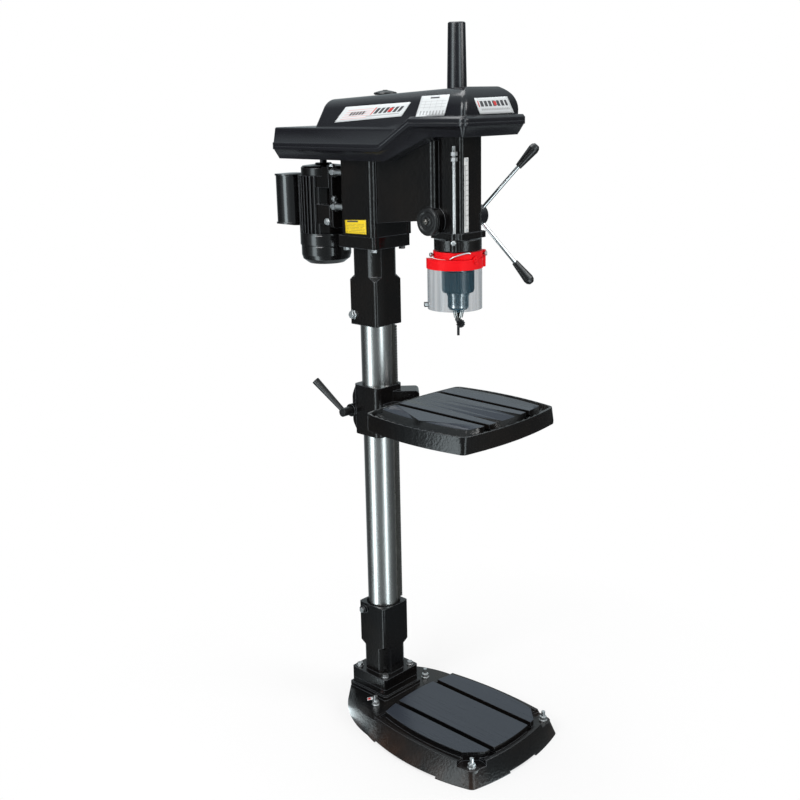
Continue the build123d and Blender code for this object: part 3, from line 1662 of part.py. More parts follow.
def button(z):
    middle = sum(switch_y) / 2
    out = head_half + switch_depth
    return rod(button_r, (out - 14 + button_travel + free_gap, middle, z), (out + button_height - 4, middle, z))


parts = {
    "base": base(),
    "floor_bolts": floor_bolts(),
    "column_foot": foot_place * column_bracket(),
    "column": column(),
    "head_bracket": head_place * column_bracket(),
    "bracket_bolts": bracket_fasteners(),
    "head_casting": head_casting(),
    "cover_pan": cover_pan(),
    "idler_arm": idler_arm(),
    "drive_belts": belts(),
    "drive_bearings": drive_bearings(),
    "spring_cup": spring_cup(),
    "return_spring": return_spring(),
    "switch_box": switch_box(),
    "start_button": button(start_z),
    "stop_button": button(stop_z),
    "motor_plate": motor_plate(),
    "slide_rods": slide_rods(),
    "motor_housing": motor_housing(),
    "end_shield": end_shield(),
    "fan_cover": fan_cover(),
    "capacitor_box": capacitor_box(),
    "motor_shaft": motor_shaft(),
    "motor_pulley": motor_pulley(),
    "idler_pulley": idler_pulley(),
    "spindle_pulley": spindle_pulley(),
    "drive_sleeve": drive_sleeve(),
    "quill": quill(),
    "quill_collar": quill_collar(),
    "quill_bearings": quill_bearings(),
    "depth_rod": depth_rod(),
    "depth_nuts": depth_nuts(),
    "guard_clamp": guard_clamp(),
    "guard_pin": guard_pin(),
    "guard_band": guard_band(),
    "guard_shield": guard_shield(),
    "guard_bolt": guard_bolt(),
    "spindle": spindle(),
    "chuck_body": chuck_body(),
    "chuck_sleeve": chuck_sleeve(),
    "chuck_key": chuck_key(),
    "feed_shaft": feed_shaft(),
    "feed_hub": feed_hub(),
    "feed_arms": feed_arms(),
    "feed_knobs": feed_knobs(),
    "rack": rack(),
    "carriage": carriage(),
    "lock_lever": lock_lever(),
    "lift_pinion": lift_pinion(),
    "crank": crank(),
    "crank_grip": crank_grip(),
    "table": table(),
    "tilt_bolt": tilt_bolt(),
    "lid": lid(),
    "spindle_tube": spindle_tube(),
    "lid_knob": lid_knob(),
}
for number, heading in enumerate(jaw_headings()):
    parts[f"chuck_jaw_{number + 1}"] = jaw(heading)

os.makedirs("parts", exist_ok=True)
for name, shape in parts.items():
    if isinstance(shape, list):
        shape = Compound(children=shape)
    export_step(shape, f"parts/{name}.step")
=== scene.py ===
import math
import bmesh
import bpy
from mathutils import Matrix, Vector
from mathutils.bvhtree import BVHTree


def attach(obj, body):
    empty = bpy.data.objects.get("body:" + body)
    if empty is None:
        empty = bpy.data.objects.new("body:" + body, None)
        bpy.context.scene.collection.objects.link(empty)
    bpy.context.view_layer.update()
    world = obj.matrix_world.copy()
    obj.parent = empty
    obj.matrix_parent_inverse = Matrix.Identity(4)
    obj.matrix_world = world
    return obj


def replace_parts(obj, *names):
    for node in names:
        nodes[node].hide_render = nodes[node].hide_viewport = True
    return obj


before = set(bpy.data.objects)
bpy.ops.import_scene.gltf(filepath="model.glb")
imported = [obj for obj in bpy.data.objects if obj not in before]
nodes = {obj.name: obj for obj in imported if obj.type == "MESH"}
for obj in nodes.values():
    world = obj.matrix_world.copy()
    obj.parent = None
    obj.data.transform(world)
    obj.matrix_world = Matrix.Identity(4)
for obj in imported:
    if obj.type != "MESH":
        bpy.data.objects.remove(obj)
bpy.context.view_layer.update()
print("drill press loaded:", len(nodes), "pieces")


def placed(name, data):
    thing = bpy.data.objects.new(name, data)
    bpy.context.scene.collection.objects.link(thing)
    return thing


# camera, solved from the machine's straight edges
shot = {
    "place": (-1.73422, -1.76197, 1.4465),
    "yaw": 45.712,
    "pitch": -15.283,
    "roll": -1.162,
    "lens": 49.523,
    "sensor": 36.0,
    "pixels": 800,
}


def shotAxes():
    yaw, pitch, roll = (math.radians(shot[turn]) for turn in ("yaw", "pitch", "roll"))
    ahead = Vector((math.sin(yaw) * math.cos(pitch), math.cos(yaw) * math.cos(pitch), math.sin(pitch)))
    right = Vector((math.cos(yaw), -math.sin(yaw), 0))
    up = right.cross(ahead)
    sideways = right * math.cos(roll) + up * math.sin(roll)
    upwards = up * math.cos(roll) - right * math.sin(roll)
    return sideways, upwards, ahead


sideways, upwards, ahead = shotAxes()
cameraData = bpy.data.cameras.new("shot")
cameraData.lens = shot["lens"]
cameraData.sensor_width = shot["sensor"]
camera = placed("shot", cameraData)
turned = Matrix((sideways, upwards, -ahead)).transposed().to_4x4()
camera.matrix_world = Matrix.Translation(shot["place"]) @ turned
bpy.context.scene.camera = camera


def throughPixel(x, y):
    focal = shot["lens"] / shot["sensor"] * shot["pixels"]
    half = shot["pixels"] / 2
    return (ahead * focal + sideways * (x - half) - upwards * (y - half)).normalized()


def surfaceOf(name):
    mesh = (nodes.get(name) or bpy.data.objects[name]).data
    return BVHTree.FromPolygons([v.co for v in mesh.vertices], [p.vertices for p in mesh.polygons])


print("camera set")


# shader maths: a wire is one socket, and operators on it add Math nodes
class Wire:
    def __init__(self, tree, socket):
        self.tree = tree
        self.socket = socket

    def maths(self, operation, *values, clamp=False):
        made = self.tree.nodes.new("ShaderNodeMath")
        made.operation = operation
        made.use_clamp = clamp
        for slot, value in zip(made.inputs, values):
            plug(self.tree, slot, value)
        return Wire(self.tree, made.outputs[0])

    def __add__(self, other):
        return self.maths("ADD", self, other)

    def __radd__(self, other):
        return self.maths("ADD", other, self)

    def __sub__(self, other):
        return self.maths("SUBTRACT", self, other)

    def __rsub__(self, other):
        return self.maths("SUBTRACT", other, self)

    def __mul__(self, other):
        return self.maths("MULTIPLY", self, other)

    def __rmul__(self, other):
        return self.maths("MULTIPLY", other, self)

    def __truediv__(self, other):
        return self.maths("DIVIDE", self, other)

    def __pow__(self, other):
        return self.maths("POWER", self, other)

    def __mod__(self, other):
        return self.maths("FLOORED_MODULO", self, other)

    def __gt__(self, other):
        return self.maths("GREATER_THAN", self, other)

    def __lt__(self, other):
        return self.maths("LESS_THAN", self, other)

    def clamped(self):
        return self.maths("ADD", self, 0.0, clamp=True)

    def larger(self, other):
        return self.maths("MAXIMUM", self, other)

    def sine(self):
        return self.maths("SINE", self)

    def power(self):
        return self.maths("EXPONENT", self)

    def heading(self, x):
        return self.maths("ARCTAN2", self, x)

    def within(self, low, high):
        return (self > low) * (self < high)


def plug(tree, slot, value):
    if isinstance(value, Wire):
        tree.links.new(value.socket, slot)
    else:
        slot.default_value = value


def setStops(ramp, stops):
    while len(ramp.elements) < len(stops):
        ramp.elements.new(0.5)
    for element, (place, colour) in zip(ramp.elements, stops):
        element.position = place
        element.color = colour


def opaque(colour):
    return (*colour, 1)


def scaled(colour, share):
    return tuple(channel * share for channel in colour)


class Made:
    def __init__(self, tree, node):
        self.tree = tree
        self.node = node

    def __getitem__(self, key):
        return Wire(self.tree, self.node.outputs[key])


class Graph:
    def __init__(self, tree):
        self.tree = tree
        self.place = self.node("ShaderNodeTexCoord")

    def node(self, kind, settings=None, values=None):
        made = self.tree.nodes.new(kind)
        for key, value in (settings or {}).items():
            if key == "stops":
                setStops(made.color_ramp, value)
            else:
                setattr(made, key, value)
        for key, value in (values or {}).items():
            plug(self.tree, made.inputs[key], value)
        return Made(self.tree, made)

    def split(self, vector):
        return self.node("ShaderNodeSeparateXYZ", None, {0: vector})

    def over(self, factor, below, above):
        # a colour Mix node: sockets 6 and 7 are its two colours, and output 2 is the mixed one
        return self.node("ShaderNodeMix", {"data_type": "RGBA"}, {0: factor, 6: below, 7: above})[2]

    def tones(self, factor, first, second):
        return self.over(factor, opaque(first), opaque(second))


class Finish(Graph):
    def __init__(self, name, **sockets):
        self.material = bpy.data.materials.new(name)
        self.material.use_nodes = True
        super().__init__(self.material.node_tree)
        self.shader = self.tree.nodes["Principled BSDF"]
        for key, value in sockets.items():
            self.set(key.replace("_", " "), value)

    def set(self, socket, value):
        plug(self.tree, self.shader.inputs[socket], value)

    def stretched(self, scale):
        values = {0: self.place["Object"], 1: scale}
        return self.node("ShaderNodeVectorMath", {"operation": "MULTIPLY"}, values)["Vector"]

    def noise(self, scale, detail=3.0, stretch=None):
        where = self.stretched(stretch) if stretch else self.place["Object"]
        values = {"Vector": where, "Scale": scale, "Detail": detail, "Roughness": 0.55}
        return self.node("ShaderNodeTexNoise", None, values)["Fac"]

    def axis(self, which):
        return self.split(self.place["Object"])[which]

    def away(self, first, second, centre):
        # distance from a line along the third axis
        across = self.split(self.place["Object"])
        return ((across[first] - centre[0]) ** 2 + (across[second] - centre[1]) ** 2) ** 0.5

    def softEdge(self, radius):
        return self.node("ShaderNodeBevel", {"samples": 6}, {"Radius": radius})["Normal"]

    def worn(self, radius):
        # how far the rounded normal leaves the true one: high along edges only, where a pale highlight
        # is painted
        values = {0: self.softEdge(radius), 1: self.node("ShaderNodeNewGeometry")["Normal"]}
        both = self.node("ShaderNodeVectorMath", {"operation": "DOT_PRODUCT"}, values)
        return (1 - both["Value"]).clamped()

    def bump(self, height, strength, depth, edge):
        values = {"Height": height, "Strength": strength, "Distance": depth}
        values["Normal"] = self.softEdge(edge)
        self.set("Normal", self.node("ShaderNodeBump", None, values)["Normal"])


# black paint on cast iron: fine grain on broad waves, warmer patches painted in as brownish
# reflections, and a pale highlight painted along the edges
castPaint = {
    "tone": (0.0030, 0.0030, 0.0034),
    "warm": (0.0082, 0.0060, 0.0047),
    "rub": (0.120, 0.130, 0.145),
    "rubGain": 2.4,
    "rubShare": 0.6,
    "rough": 0.15,
    "shine": 0.42,
    "mottle": 0.16,
    "edge": 0.0026,
    "patch": 5.5,
    "patchFrom": 0.38,
    "patchGain": 2.6,
    "wave": 190.0,
    "waveShare": 1.6,
    "grain": 560.0,
    "grainShare": 0.25,
    "grainDepth": 0.0009,
    "bump": 0.42,
    "dust": None,
    "swell": None,
}
# painted reflection of a brown floor, low on the base's left and right sides
baseFloorReflection = {
    "tone": (0.046, 0.024, 0.015),
    "share": 0.75,
    "top": 0.055,
    "smear": 16.0,
    "along": (1, 1, 0.35),
    "from": 0.36,
    "gain": 3,
    "sideFrom": 0.009,
    "sideGain": 75,
}
# the bracket's face curves back towards its front corner
bracketSwell = {"from": -0.008, "wide": 0.034, "rise": 21.0}
# machined work faces of the table and the base, with lines along Y
workFace = {
    "tone": (0.0105, 0.0130, 0.0182),
    "light": (0.0165, 0.0200, 0.0265),
    "rough": 0.3,
    "mottle": 0.2,
    "lines": 150.0,
    "along": (1, 0.08, 1),
    "lineDepth": 0.1,
    "flatten": 0.9,
    "slack": 0.0004,
    "facing": 0.7,
}


def dusted(paint, colour, dust):
    # paints a brown floor reflection low on the sides, in smeared patches
    smear = ((paint.noise(dust["smear"], 5.0, dust["along"]) - dust["from"]) * dust["gain"]).clamped()
    side = paint.axis("X")
    low = (1 - paint.axis("Z") / dust["top"]).clamped()
    low = low * ((side * side - dust["sideFrom"]) * dust["sideGain"]).clamped()
    return paint.over((low * smear * dust["share"]).clamped(), colour, opaque(dust["tone"]))


def castIron(name, workTop=None, pale=1.0, **changes):
    look = {**castPaint, **changes}
    paint = Finish(name, Specular_IOR_Level=look["shine"])
    patch = paint.noise(look["patch"], 3.0)
    wave = paint.noise(look["wave"], 2.0)
    grain = paint.noise(look["grain"], 4.0)
    # a pale highlight painted along every edge
    rub = (paint.worn(look["edge"]) * look["rubGain"]).clamped() * look["rubShare"]
    # warmer patches: painted brownish reflections
    brownReflectionShare = ((patch - look["patchFrom"]) * look["patchGain"]).clamped()
    colour = paint.tones(brownReflectionShare, look["tone"], look["warm"])
    if look["dust"]:
        colour = dusted(paint, colour, look["dust"])
    colour = paint.over(rub, colour, opaque(look["rub"]))
    gloss = look["rough"] + (patch - 0.5) * look["mottle"] + (grain - 0.5) * look["mottle"]
    height = grain * look["grainShare"] + wave * look["waveShare"]
    if look["swell"]:
        back = ((look["swell"]["from"] - paint.axis("X")) / look["swell"]["wide"]).clamped()
        height = height - back ** 2 * look["swell"]["rise"]
    if workTop:
        facing = paint.split(paint.place["Normal"])["Z"]
        flat = (paint.axis("Z") > workTop - workFace["slack"]) * (facing > workFace["facing"])
        lines = paint.noise(workFace["lines"], 4.0, workFace["along"])
        bare = paint.tones(lines, scaled(workFace["tone"], pale), scaled(workFace["light"], pale))
        colour = paint.over(flat, colour, bare)
        gloss = gloss + flat * (workFace["rough"] - look["rough"] + (lines - 0.5) * workFace["mottle"])
        height = height * (1 - flat * workFace["flatten"]) + flat * lines * workFace["lineDepth"]
    paint.set("Base Color", colour)
    paint.set("Roughness", gloss.clamped())
    paint.bump(height, look["bump"], look["grainDepth"], look["edge"])
    return paint.material


# moulded plastic, painted sheet and rubber, with a pale highlight painted along the edges
mouldedShell = {
    "grain": 900.0,
    "depth": 0.00012,
    "bump": 0.25,
    "edge": 0.0012,
    "shine": 0.6,
    "patch": 7.0,
    "patchMottle": 0.14,
    "grainMottle": 0.12,
    "rubEdge": 0.0016,
    "rubGain": 2.2,
    "rubLift": 0.01,
    "rings": None,
    "bulge": None,
}
# turned grooves: of the return spring's cup by distance from its axis, of the fan cover by height
cupRings = {
    "along": ("Y", "Z"),
    "centre": (-0.213, 1.202),
    "places": (0.0105, 0.0185, 0.0255),
    "width": 0.0011,
    "deep": 9.0,
}
fanRings = {"along": "Z", "places": (1.1235, 1.1495), "width": 0.0016, "deep": 30.0}
# the capacitor box's sheet swells a little between its edges
boxBulge = {"across": "Y", "middle": 0.2835, "half": 0.04, "rise": 140.0}


def moulded(name, tone, light, rough, **changes):
    look = {**mouldedShell, **changes}
    shell = Finish(name, Specular_IOR_Level=look["shine"])
    patch = shell.noise(look["patch"], 3.0)
    height = shell.noise(look["grain"], 3.0)
    # a pale highlight painted along the edges
    edgeHighlightColour = tuple(min(1, channel * look["rubGain"] + look["rubLift"]) for channel in light)
    rub = shell.worn(min(look["edge"], look["rubEdge"]))
    shell.set("Base Color", shell.over(rub, shell.tones(patch, tone, light), opaque(edgeHighlightColour)))
    gloss = rough + (patch - 0.5) * look["patchMottle"] + (height - 0.5) * look["grainMottle"]
    shell.set("Roughness", gloss.clamped())
    rings = look["rings"]
    if rings:
        at = shell.axis("Z") if rings["along"] == "Z" else shell.away(*rings["along"], rings["centre"])
        for groove in rings["places"]:
            height = height - (((at - groove) / rings["width"]) ** 2 * -1).power() * rings["deep"]
    bulge = look["bulge"]
    if bulge:
        across = (shell.axis(bulge["across"]) - bulge["middle"]) / bulge["half"]
        height = height - across ** 2 * bulge["rise"]
    shell.bump(height, look["bump"], look["depth"], look["edge"])
    return shell.material


# bare and plated metal: tool lines along the stretch, broad patches, dark spots
bareMetal = {
    "stretch": (1, 1, 1),
    "scale": 300.0,
    "lineShare": 0.4,
    "lineMottle": 0.18,
    "patch": 12.0,
    "patchShare": 0.6,
    "patchMottle": 0.1,
    "edge": 0.0005,
    "depth": 0.00005,
    "bump": 0.3,
    "spot": 0.0,
    "spotScale": 60.0,
    "spotFrom": 0.62,
    "spotGain": 6,
    "spotTint": (0.5, 0.46, 0.42),
}


def metal(name, tone, light, rough, **changes):
    look = {**bareMetal, **changes}
    bare = Finish(name, Metallic=1.0)
    patch = bare.noise(look["patch"], 3.0)
    lines = bare.noise(look["scale"], 3.0, look["stretch"])
    colour = bare.tones((patch * look["patchShare"] + lines * look["lineShare"]).clamped(), tone, light)
    if look["spot"]:
        dark = tuple(channel * tint for channel, tint in zip(tone, look["spotTint"]))
        spot = ((bare.noise(look["spotScale"], 5.0) - look["spotFrom"]) * look["spotGain"]).clamped()
        colour = bare.over(spot * look["spot"], colour, opaque(dark))
    bare.set("Base Color", colour)
    gloss = rough + (lines - 0.5) * look["lineMottle"] + (patch - 0.5) * look["patchMottle"]
    bare.set("Roughness", gloss.clamped())
    bare.bump(lines, look["bump"], look["depth"], look["edge"])
    return bare.material


# upright flutes round the chuck's turned sleeve, with shade painted dark in their grooves and light on
# their ridges
sleeveFlutes = {
    "tone": (0.07, 0.071, 0.074),
    "light": (0.15, 0.151, 0.155),
    "rough": 0.32,
    "centre": (0.0, -0.248),
    "count": 54,
    "waveShare": 0.3,
    "patch": 40.0,
    "patchShare": 0.6,
    "lift": 0.1,
    "mottle": 0.14,
    "bump": 0.7,
    "depth": 0.0003,
    "edge": 0.0006,
}


def fluted(name, look):
    grooved = Finish(name, Metallic=1.0)
    place = grooved.split(grooved.place["Object"])
    patch = grooved.noise(look["patch"], 3.0)
    x = place["X"] - look["centre"][0]
    y = place["Y"] - look["centre"][1]
    wave = (y.heading(x) * look["count"]).sine()
    # colour follows the flutes: painted shade in the grooves, lighter on the ridges
    paintedFluteShade = (wave * look["waveShare"] + patch * look["patchShare"] + look["lift"]).clamped()
    grooved.set("Base Color", grooved.tones(paintedFluteShade, look["tone"], look["light"]))
    grooved.set("Roughness", (look["rough"] + (patch - 0.5) * look["mottle"]).clamped())
    grooved.bump(wave, look["bump"], look["depth"], look["edge"])
    return grooved.material


# the guard's thin clear sheet: see-through face on, denser towards its edges, with upright streaks
# painted in as reflections
guardSheet = {
    "tone": (0.020, 0.060, 0.088),
    "light": (0.030, 0.080, 0.112),
    "haze": 14.0,
    "streak": (110, 110, 5),
    "streakFrom": 0.3,
    "streakShare": 0.36,
    "dense": 0.25,
    "hazeShare": 0.05,
    "edgeBlend": 0.4,
    "edgeShare": 0.5,
    "rough": 0.04,
    "hazeRough": 0.06,
}


def clearSheet(name, look):
    sheet = Finish(name, IOR=1.46, Specular_IOR_Level=0.6)
    haze = sheet.noise(look["haze"], 4.0)
    # upright streaks painted into the sheet's cover as reflections
    streak = (sheet.noise(1.0, 2.0, look["streak"]) - look["streakFrom"]).clamped()
    slant = sheet.node("ShaderNodeLayerWeight", None, {"Blend": look["edgeBlend"]})["Facing"]
    cover = look["dense"] + haze * look["hazeShare"] + streak * look["streakShare"]
    sheet.set("Base Color", sheet.tones(haze, look["tone"], look["light"]))
    sheet.set("Alpha", (cover + slant ** 3 * look["edgeShare"]).clamped())
    sheet.set("Roughness", (look["rough"] + haze * look["hazeRough"]).clamped())
    return sheet.material


# each finish: its two tones, its roughness, and what differs from its kind
finishes = {
    "cast": castIron("castPaint"),
    # the bracket gets a brighter painted highlight along its edges
    "bracketCast": castIron("bracketPaint", rub=(0.30, 0.33, 0.37), swell=bracketSwell),
    "tableCast": castIron("tablePaint", workTop=0.8, pale=2.2),
    # the base wears a painted brown floor reflection low on its sides
    "baseCast": castIron("basePaint", workTop=0.057, pale=1.9, rough=0.24, shine=0.4, dust=baseFloorReflection),
    "motor": castIron("motorPaint", rough=0.16, grainDepth=0.0003, wave=30.0),
    "fan": moulded("fanCoverPaint", (0.004, 0.004, 0.0044), (0.007, 0.0068, 0.007), 0.13,
                   grain=500.0, rings=fanRings),
    "cover": moulded("coverPlastic", (0.0052, 0.0052, 0.0074), (0.0092, 0.0090, 0.0125), 0.21,
                     edge=0.0045),
    "box": moulded("boxPaint", (0.004, 0.004, 0.0045), (0.007, 0.007, 0.0075), 0.05,
                   grain=300.0, bulge=boxBulge, bump=1.0, shine=0.9),
    "grip": moulded("gripPlastic", (0.0055, 0.0055, 0.006), (0.010, 0.010, 0.0105), 0.32, grain=700.0),
    "cup": moulded("cupPlastic", (0.0055, 0.0055, 0.006), (0.010, 0.010, 0.0105), 0.26,
                   grain=700.0, rings=cupRings),
    "red": moulded("redPlastic", (0.74, 0.003, 0.007), (0.84, 0.005, 0.011), 0.38, shine=0.16),
    "green": moulded("greenPlastic", (0.01, 0.20, 0.035), (0.015, 0.26, 0.05), 0.32),
    "rubber": moulded("beltRubber", (0.012, 0.012, 0.012), (0.02, 0.02, 0.02), 0.62, grain=500.0),
    "column": metal("columnSteel", (0.46, 0.455, 0.445), (0.53, 0.525, 0.51), 0.27,
                    stretch=(70, 70, 3), scale=1.0, edge=0.0008, depth=0.00002, spot=0.25),
    "steel": metal("turnedSteel", (0.36, 0.355, 0.345), (0.52, 0.515, 0.50), 0.28,
                   stretch=(6, 6, 700), scale=1.0, depth=0.00004, spot=0.3),
    "rack": metal("rackSteel", (0.07, 0.066, 0.062), (0.15, 0.14, 0.13), 0.36,
                  scale=200.0, edge=0.0004, depth=0.00006, spot=0.5),
    "bolt": metal("bracketBoltSteel", (0.32, 0.32, 0.325), (0.50, 0.50, 0.50), 0.40,
                  scale=420.0, spot=0.8),
    "zinc": metal("zincPlate", (0.42, 0.43, 0.44), (0.62, 0.63, 0.63), 0.40, scale=420.0, spot=0.5),
    "thread": metal("threadedZinc", (0.46, 0.46, 0.46), (0.70, 0.70, 0.70), 0.30,
                    scale=420.0, edge=0.0003, depth=0.00003, spot=0.4),
    "chrome": metal("chromePlate", (0.66, 0.67, 0.675), (0.78, 0.785, 0.79), 0.10,
                    scale=260.0, depth=0.00001),
    "black": metal("blackSteel", (0.018, 0.018, 0.019), (0.04, 0.04, 0.042), 0.36),
    "pulley": metal("turnedAluminium", (0.52, 0.525, 0.53), (0.66, 0.665, 0.67), 0.32,
                    stretch=(6, 6, 600), scale=1.0),
    "sleeve": fluted("sleeveSteel", sleeveFlutes),
    "clear": clearSheet("clearPlastic", guardSheet),
}

# which finish each piece of the machine wears
wears = {
    "cast": "column_foot head_casting quill_collar carriage crank",
    "bracketCast": "head_bracket",
    "tableCast": "table",
    "baseCast": "base",
    "motor": "motor_plate motor_housing end_shield",
    "fan": "fan_cover",
    "cover": "cover_pan lid spindle_tube switch_box feed_hub",
    "box": "capacitor_box",
    "grip": "feed_knobs lock_lever crank_grip lid_knob",
    "cup": "spring_cup",
    "red": "guard_clamp guard_band stop_button",
    "green": "start_button",
    "rubber": "drive_belts",
    "column": "column",
    "steel": "idler_arm drive_bearings return_spring drive_sleeve quill quill_bearings spindle"
             " feed_shaft lift_pinion chuck_jaw_1 chuck_jaw_2 chuck_jaw_3",
    "rack": "rack",
    "bolt": "bracket_bolts",
    "zinc": "floor_bolts slide_rods depth_nuts guard_pin guard_bolt tilt_bolt",
    "thread": "depth_rod",
    "chrome": "chuck_body feed_arms",
    "black": "chuck_key motor_shaft",
    "pulley": "motor_pulley idler_pulley spindle_pulley",
    "sleeve": "chuck_sleeve",
    "clear": "guard_shield",
}
for finish, names in wears.items():
    for name in names.split():
        nodes[name].data.materials.clear()
        nodes[name].data.materials.append(finishes[finish])
print("finishes on", sum(len(names.split()) for names in wears.values()), "pieces")


def addPiece(name, mesh, finish, body):
    piece = placed(name, mesh)
    mesh.materials.clear()
    mesh.materials.append(finish)
    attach(piece, body)
    return piece


# meshes: what a bmesh holds, what a curve gives, and shapes turned round a line
def meshOfShape(name, shape):
    mesh = bpy.data.meshes.new(name)
    shape.to_mesh(mesh)
    shape.free()
    return mesh


def meshOfCurve(name, curve):
    holder = placed(name, curve)
    bpy.context.view_layer.update()
    mesh = bpy.data.meshes.new_from_object(holder.evaluated_get(bpy.context.evaluated_depsgraph_get()))
    bpy.data.objects.remove(holder)
    return mesh


def turnedMesh(name, look, start, along):
    # the profile is pairs of distance along the line and radius
    shape = bmesh.new()
    turn = along.to_track_quat("Z", "Y")
    sides = look["sides"]
    rings = []
    for far, radius in look["profile"]:
        ring = []
        for k in range(sides):
            angle = 2 * math.pi * k / sides
            point = Vector((radius * math.cos(angle), radius * math.sin(angle), far))
            ring.append(shape.verts.new(start + turn @ point))
        rings.append(ring)
    for lower, upper in zip(rings, rings[1:]):
        for k in range(sides):
            after = (k + 1) % sides
            face = shape.faces.new((lower[k], lower[after], upper[after], upper[k]))
            face.smooth = True
    shape.faces.new(rings[0][::-1])
    shape.faces.new(rings[-1])
    bmesh.ops.recalc_face_normals(shape, faces=shape.faces)
    return meshOfShape(name, shape)


# belt cover, lid and table: the solids' own forms, with a shorter step in the cover's seam,
# a fuller front end on the lid and fuller, flared sides on the table
coverForm = {
    "band": 0.0855,
    "start": -0.118,
    "end": -0.245,
    "newEnd": -0.205,
    "front": -0.338,
    "sharp": 18,
}
lidFront = {
    "swell": 0.0085,
    "foot": 1.409,
    "crown": 1.465,
    "lean": 1.2,
    "along": (-0.215, -0.300),
    "side": (0.03, 0.08),
    "nose": (-0.27, -0.32),
    "cutsAlong": (-0.215, -0.24, -0.27, -0.30),
    "cutsAcross": (-0.06, -0.03, 0.03, 0.06),
    "cutRise": 0.007,
    "cutCount": 8,
}
tableForm = {
    "middle": -0.252,
    "halfWide": 0.150,
    "halfDeep": 0.139,
    "bulge": 0.0075,
    "bulgeOver": (0.4, 0.8),
    "flare": 0.0045,
    "flareOver": (0.88, 0.96),
    "rim": 0.793,
    "foot": 0.763,
    "sharp": 28,
}
shaping = {"weld": 0.000002, "cutSlack": 0.00001}


def share(value, start, end):
    return min(max((value - start) / (end - start), 0.0), 1.0)


def shorterStep(point):
    form = coverForm
    if abs(point.x) > form["band"] and form["front"] < point.y < form["start"]:
        along = share(point.y, form["start"], form["end"])
        beyond = share(point.y, form["end"], form["front"])
        point.y = form["start"] + along * (form["newEnd"] - form["start"])
        point.y += beyond * (form["front"] - form["newEnd"])
    return point


def fullerFront(point):
    form = lidFront
    point = shorterStep(point)
    rise = share(point.z, form["foot"], form["crown"]) ** form["lean"]
    swell = form["swell"] * 4 * rise * (1 - rise) * share(point.y, *form["along"])
    point.x += math.copysign(swell * share(abs(point.x), *form["side"]), point.x)
    point.y -= swell * share(point.y, *form["nose"])
    return point


def fullerSides(point):
    form = tableForm
    across = point.x / form["halfWide"]
    deep = (point.y - form["middle"]) / form["halfDeep"]
    flare = form["flare"] * share(point.z, form["rim"], form["foot"])
    wide = share(abs(across), *form["bulgeOver"]) * form["bulge"] * max(0.0, 1 - deep * deep)
    wide += share(abs(across), *form["flareOver"]) * flare
    forward = share(-deep, *form["bulgeOver"]) * form["bulge"] * max(0.0, 1 - across * across)
    forward += share(-deep, *form["flareOver"]) * flare
    return Vector((point.x + math.copysign(wide, across), point.y - forward, point.z))


def lidCuts():
    # planes that give the lid's front end enough points to swell
    levels = [lidFront["foot"] + lidFront["cutRise"] * k for k in range(lidFront["cutCount"])]
    cuts = [((0, y, 0), (0, 1, 0)) for y in lidFront["cutsAlong"]]
    cuts += [((0, 0, z), (0, 0, 1)) for z in levels]
    cuts += [((x, 0, 0), (1, 0, 0)) for x in lidFront["cutsAcross"]]
    return cuts


def reshaped(name, node, move, finish, body, sharp, cuts=()):
    shape = bmesh.new()
    shape.from_mesh(nodes[node].data)
    bmesh.ops.remove_doubles(shape, verts=shape.verts, dist=shaping["weld"])
    for place, facing in cuts:
        everything = shape.verts[:] + shape.edges[:] + shape.faces[:]
        bmesh.ops.bisect_plane(shape, geom=everything, dist=shaping["cutSlack"],
                               plane_co=place, plane_no=facing)
    for vert in shape.verts:
        vert.co = move(vert.co.copy())
    for face in shape.faces:
        face.smooth = True
    mesh = meshOfShape(name, shape)
    mesh.set_sharp_from_angle(angle=math.radians(sharp))
    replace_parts(addPiece(name, mesh, finishes[finish], body), node)


coverSharp = coverForm["sharp"]
tableSharp = tableForm["sharp"]
reshaped("lid_shell", "lid", fullerFront, "cover", "lid_unit", coverSharp, lidCuts())
reshaped("cover_shell", "cover_pan", shorterStep, "cover", "stand", coverSharp)
reshaped("table_casting", "table", fullerSides, "tableCast", "table_unit", tableSharp)
print("cover and table shaped")


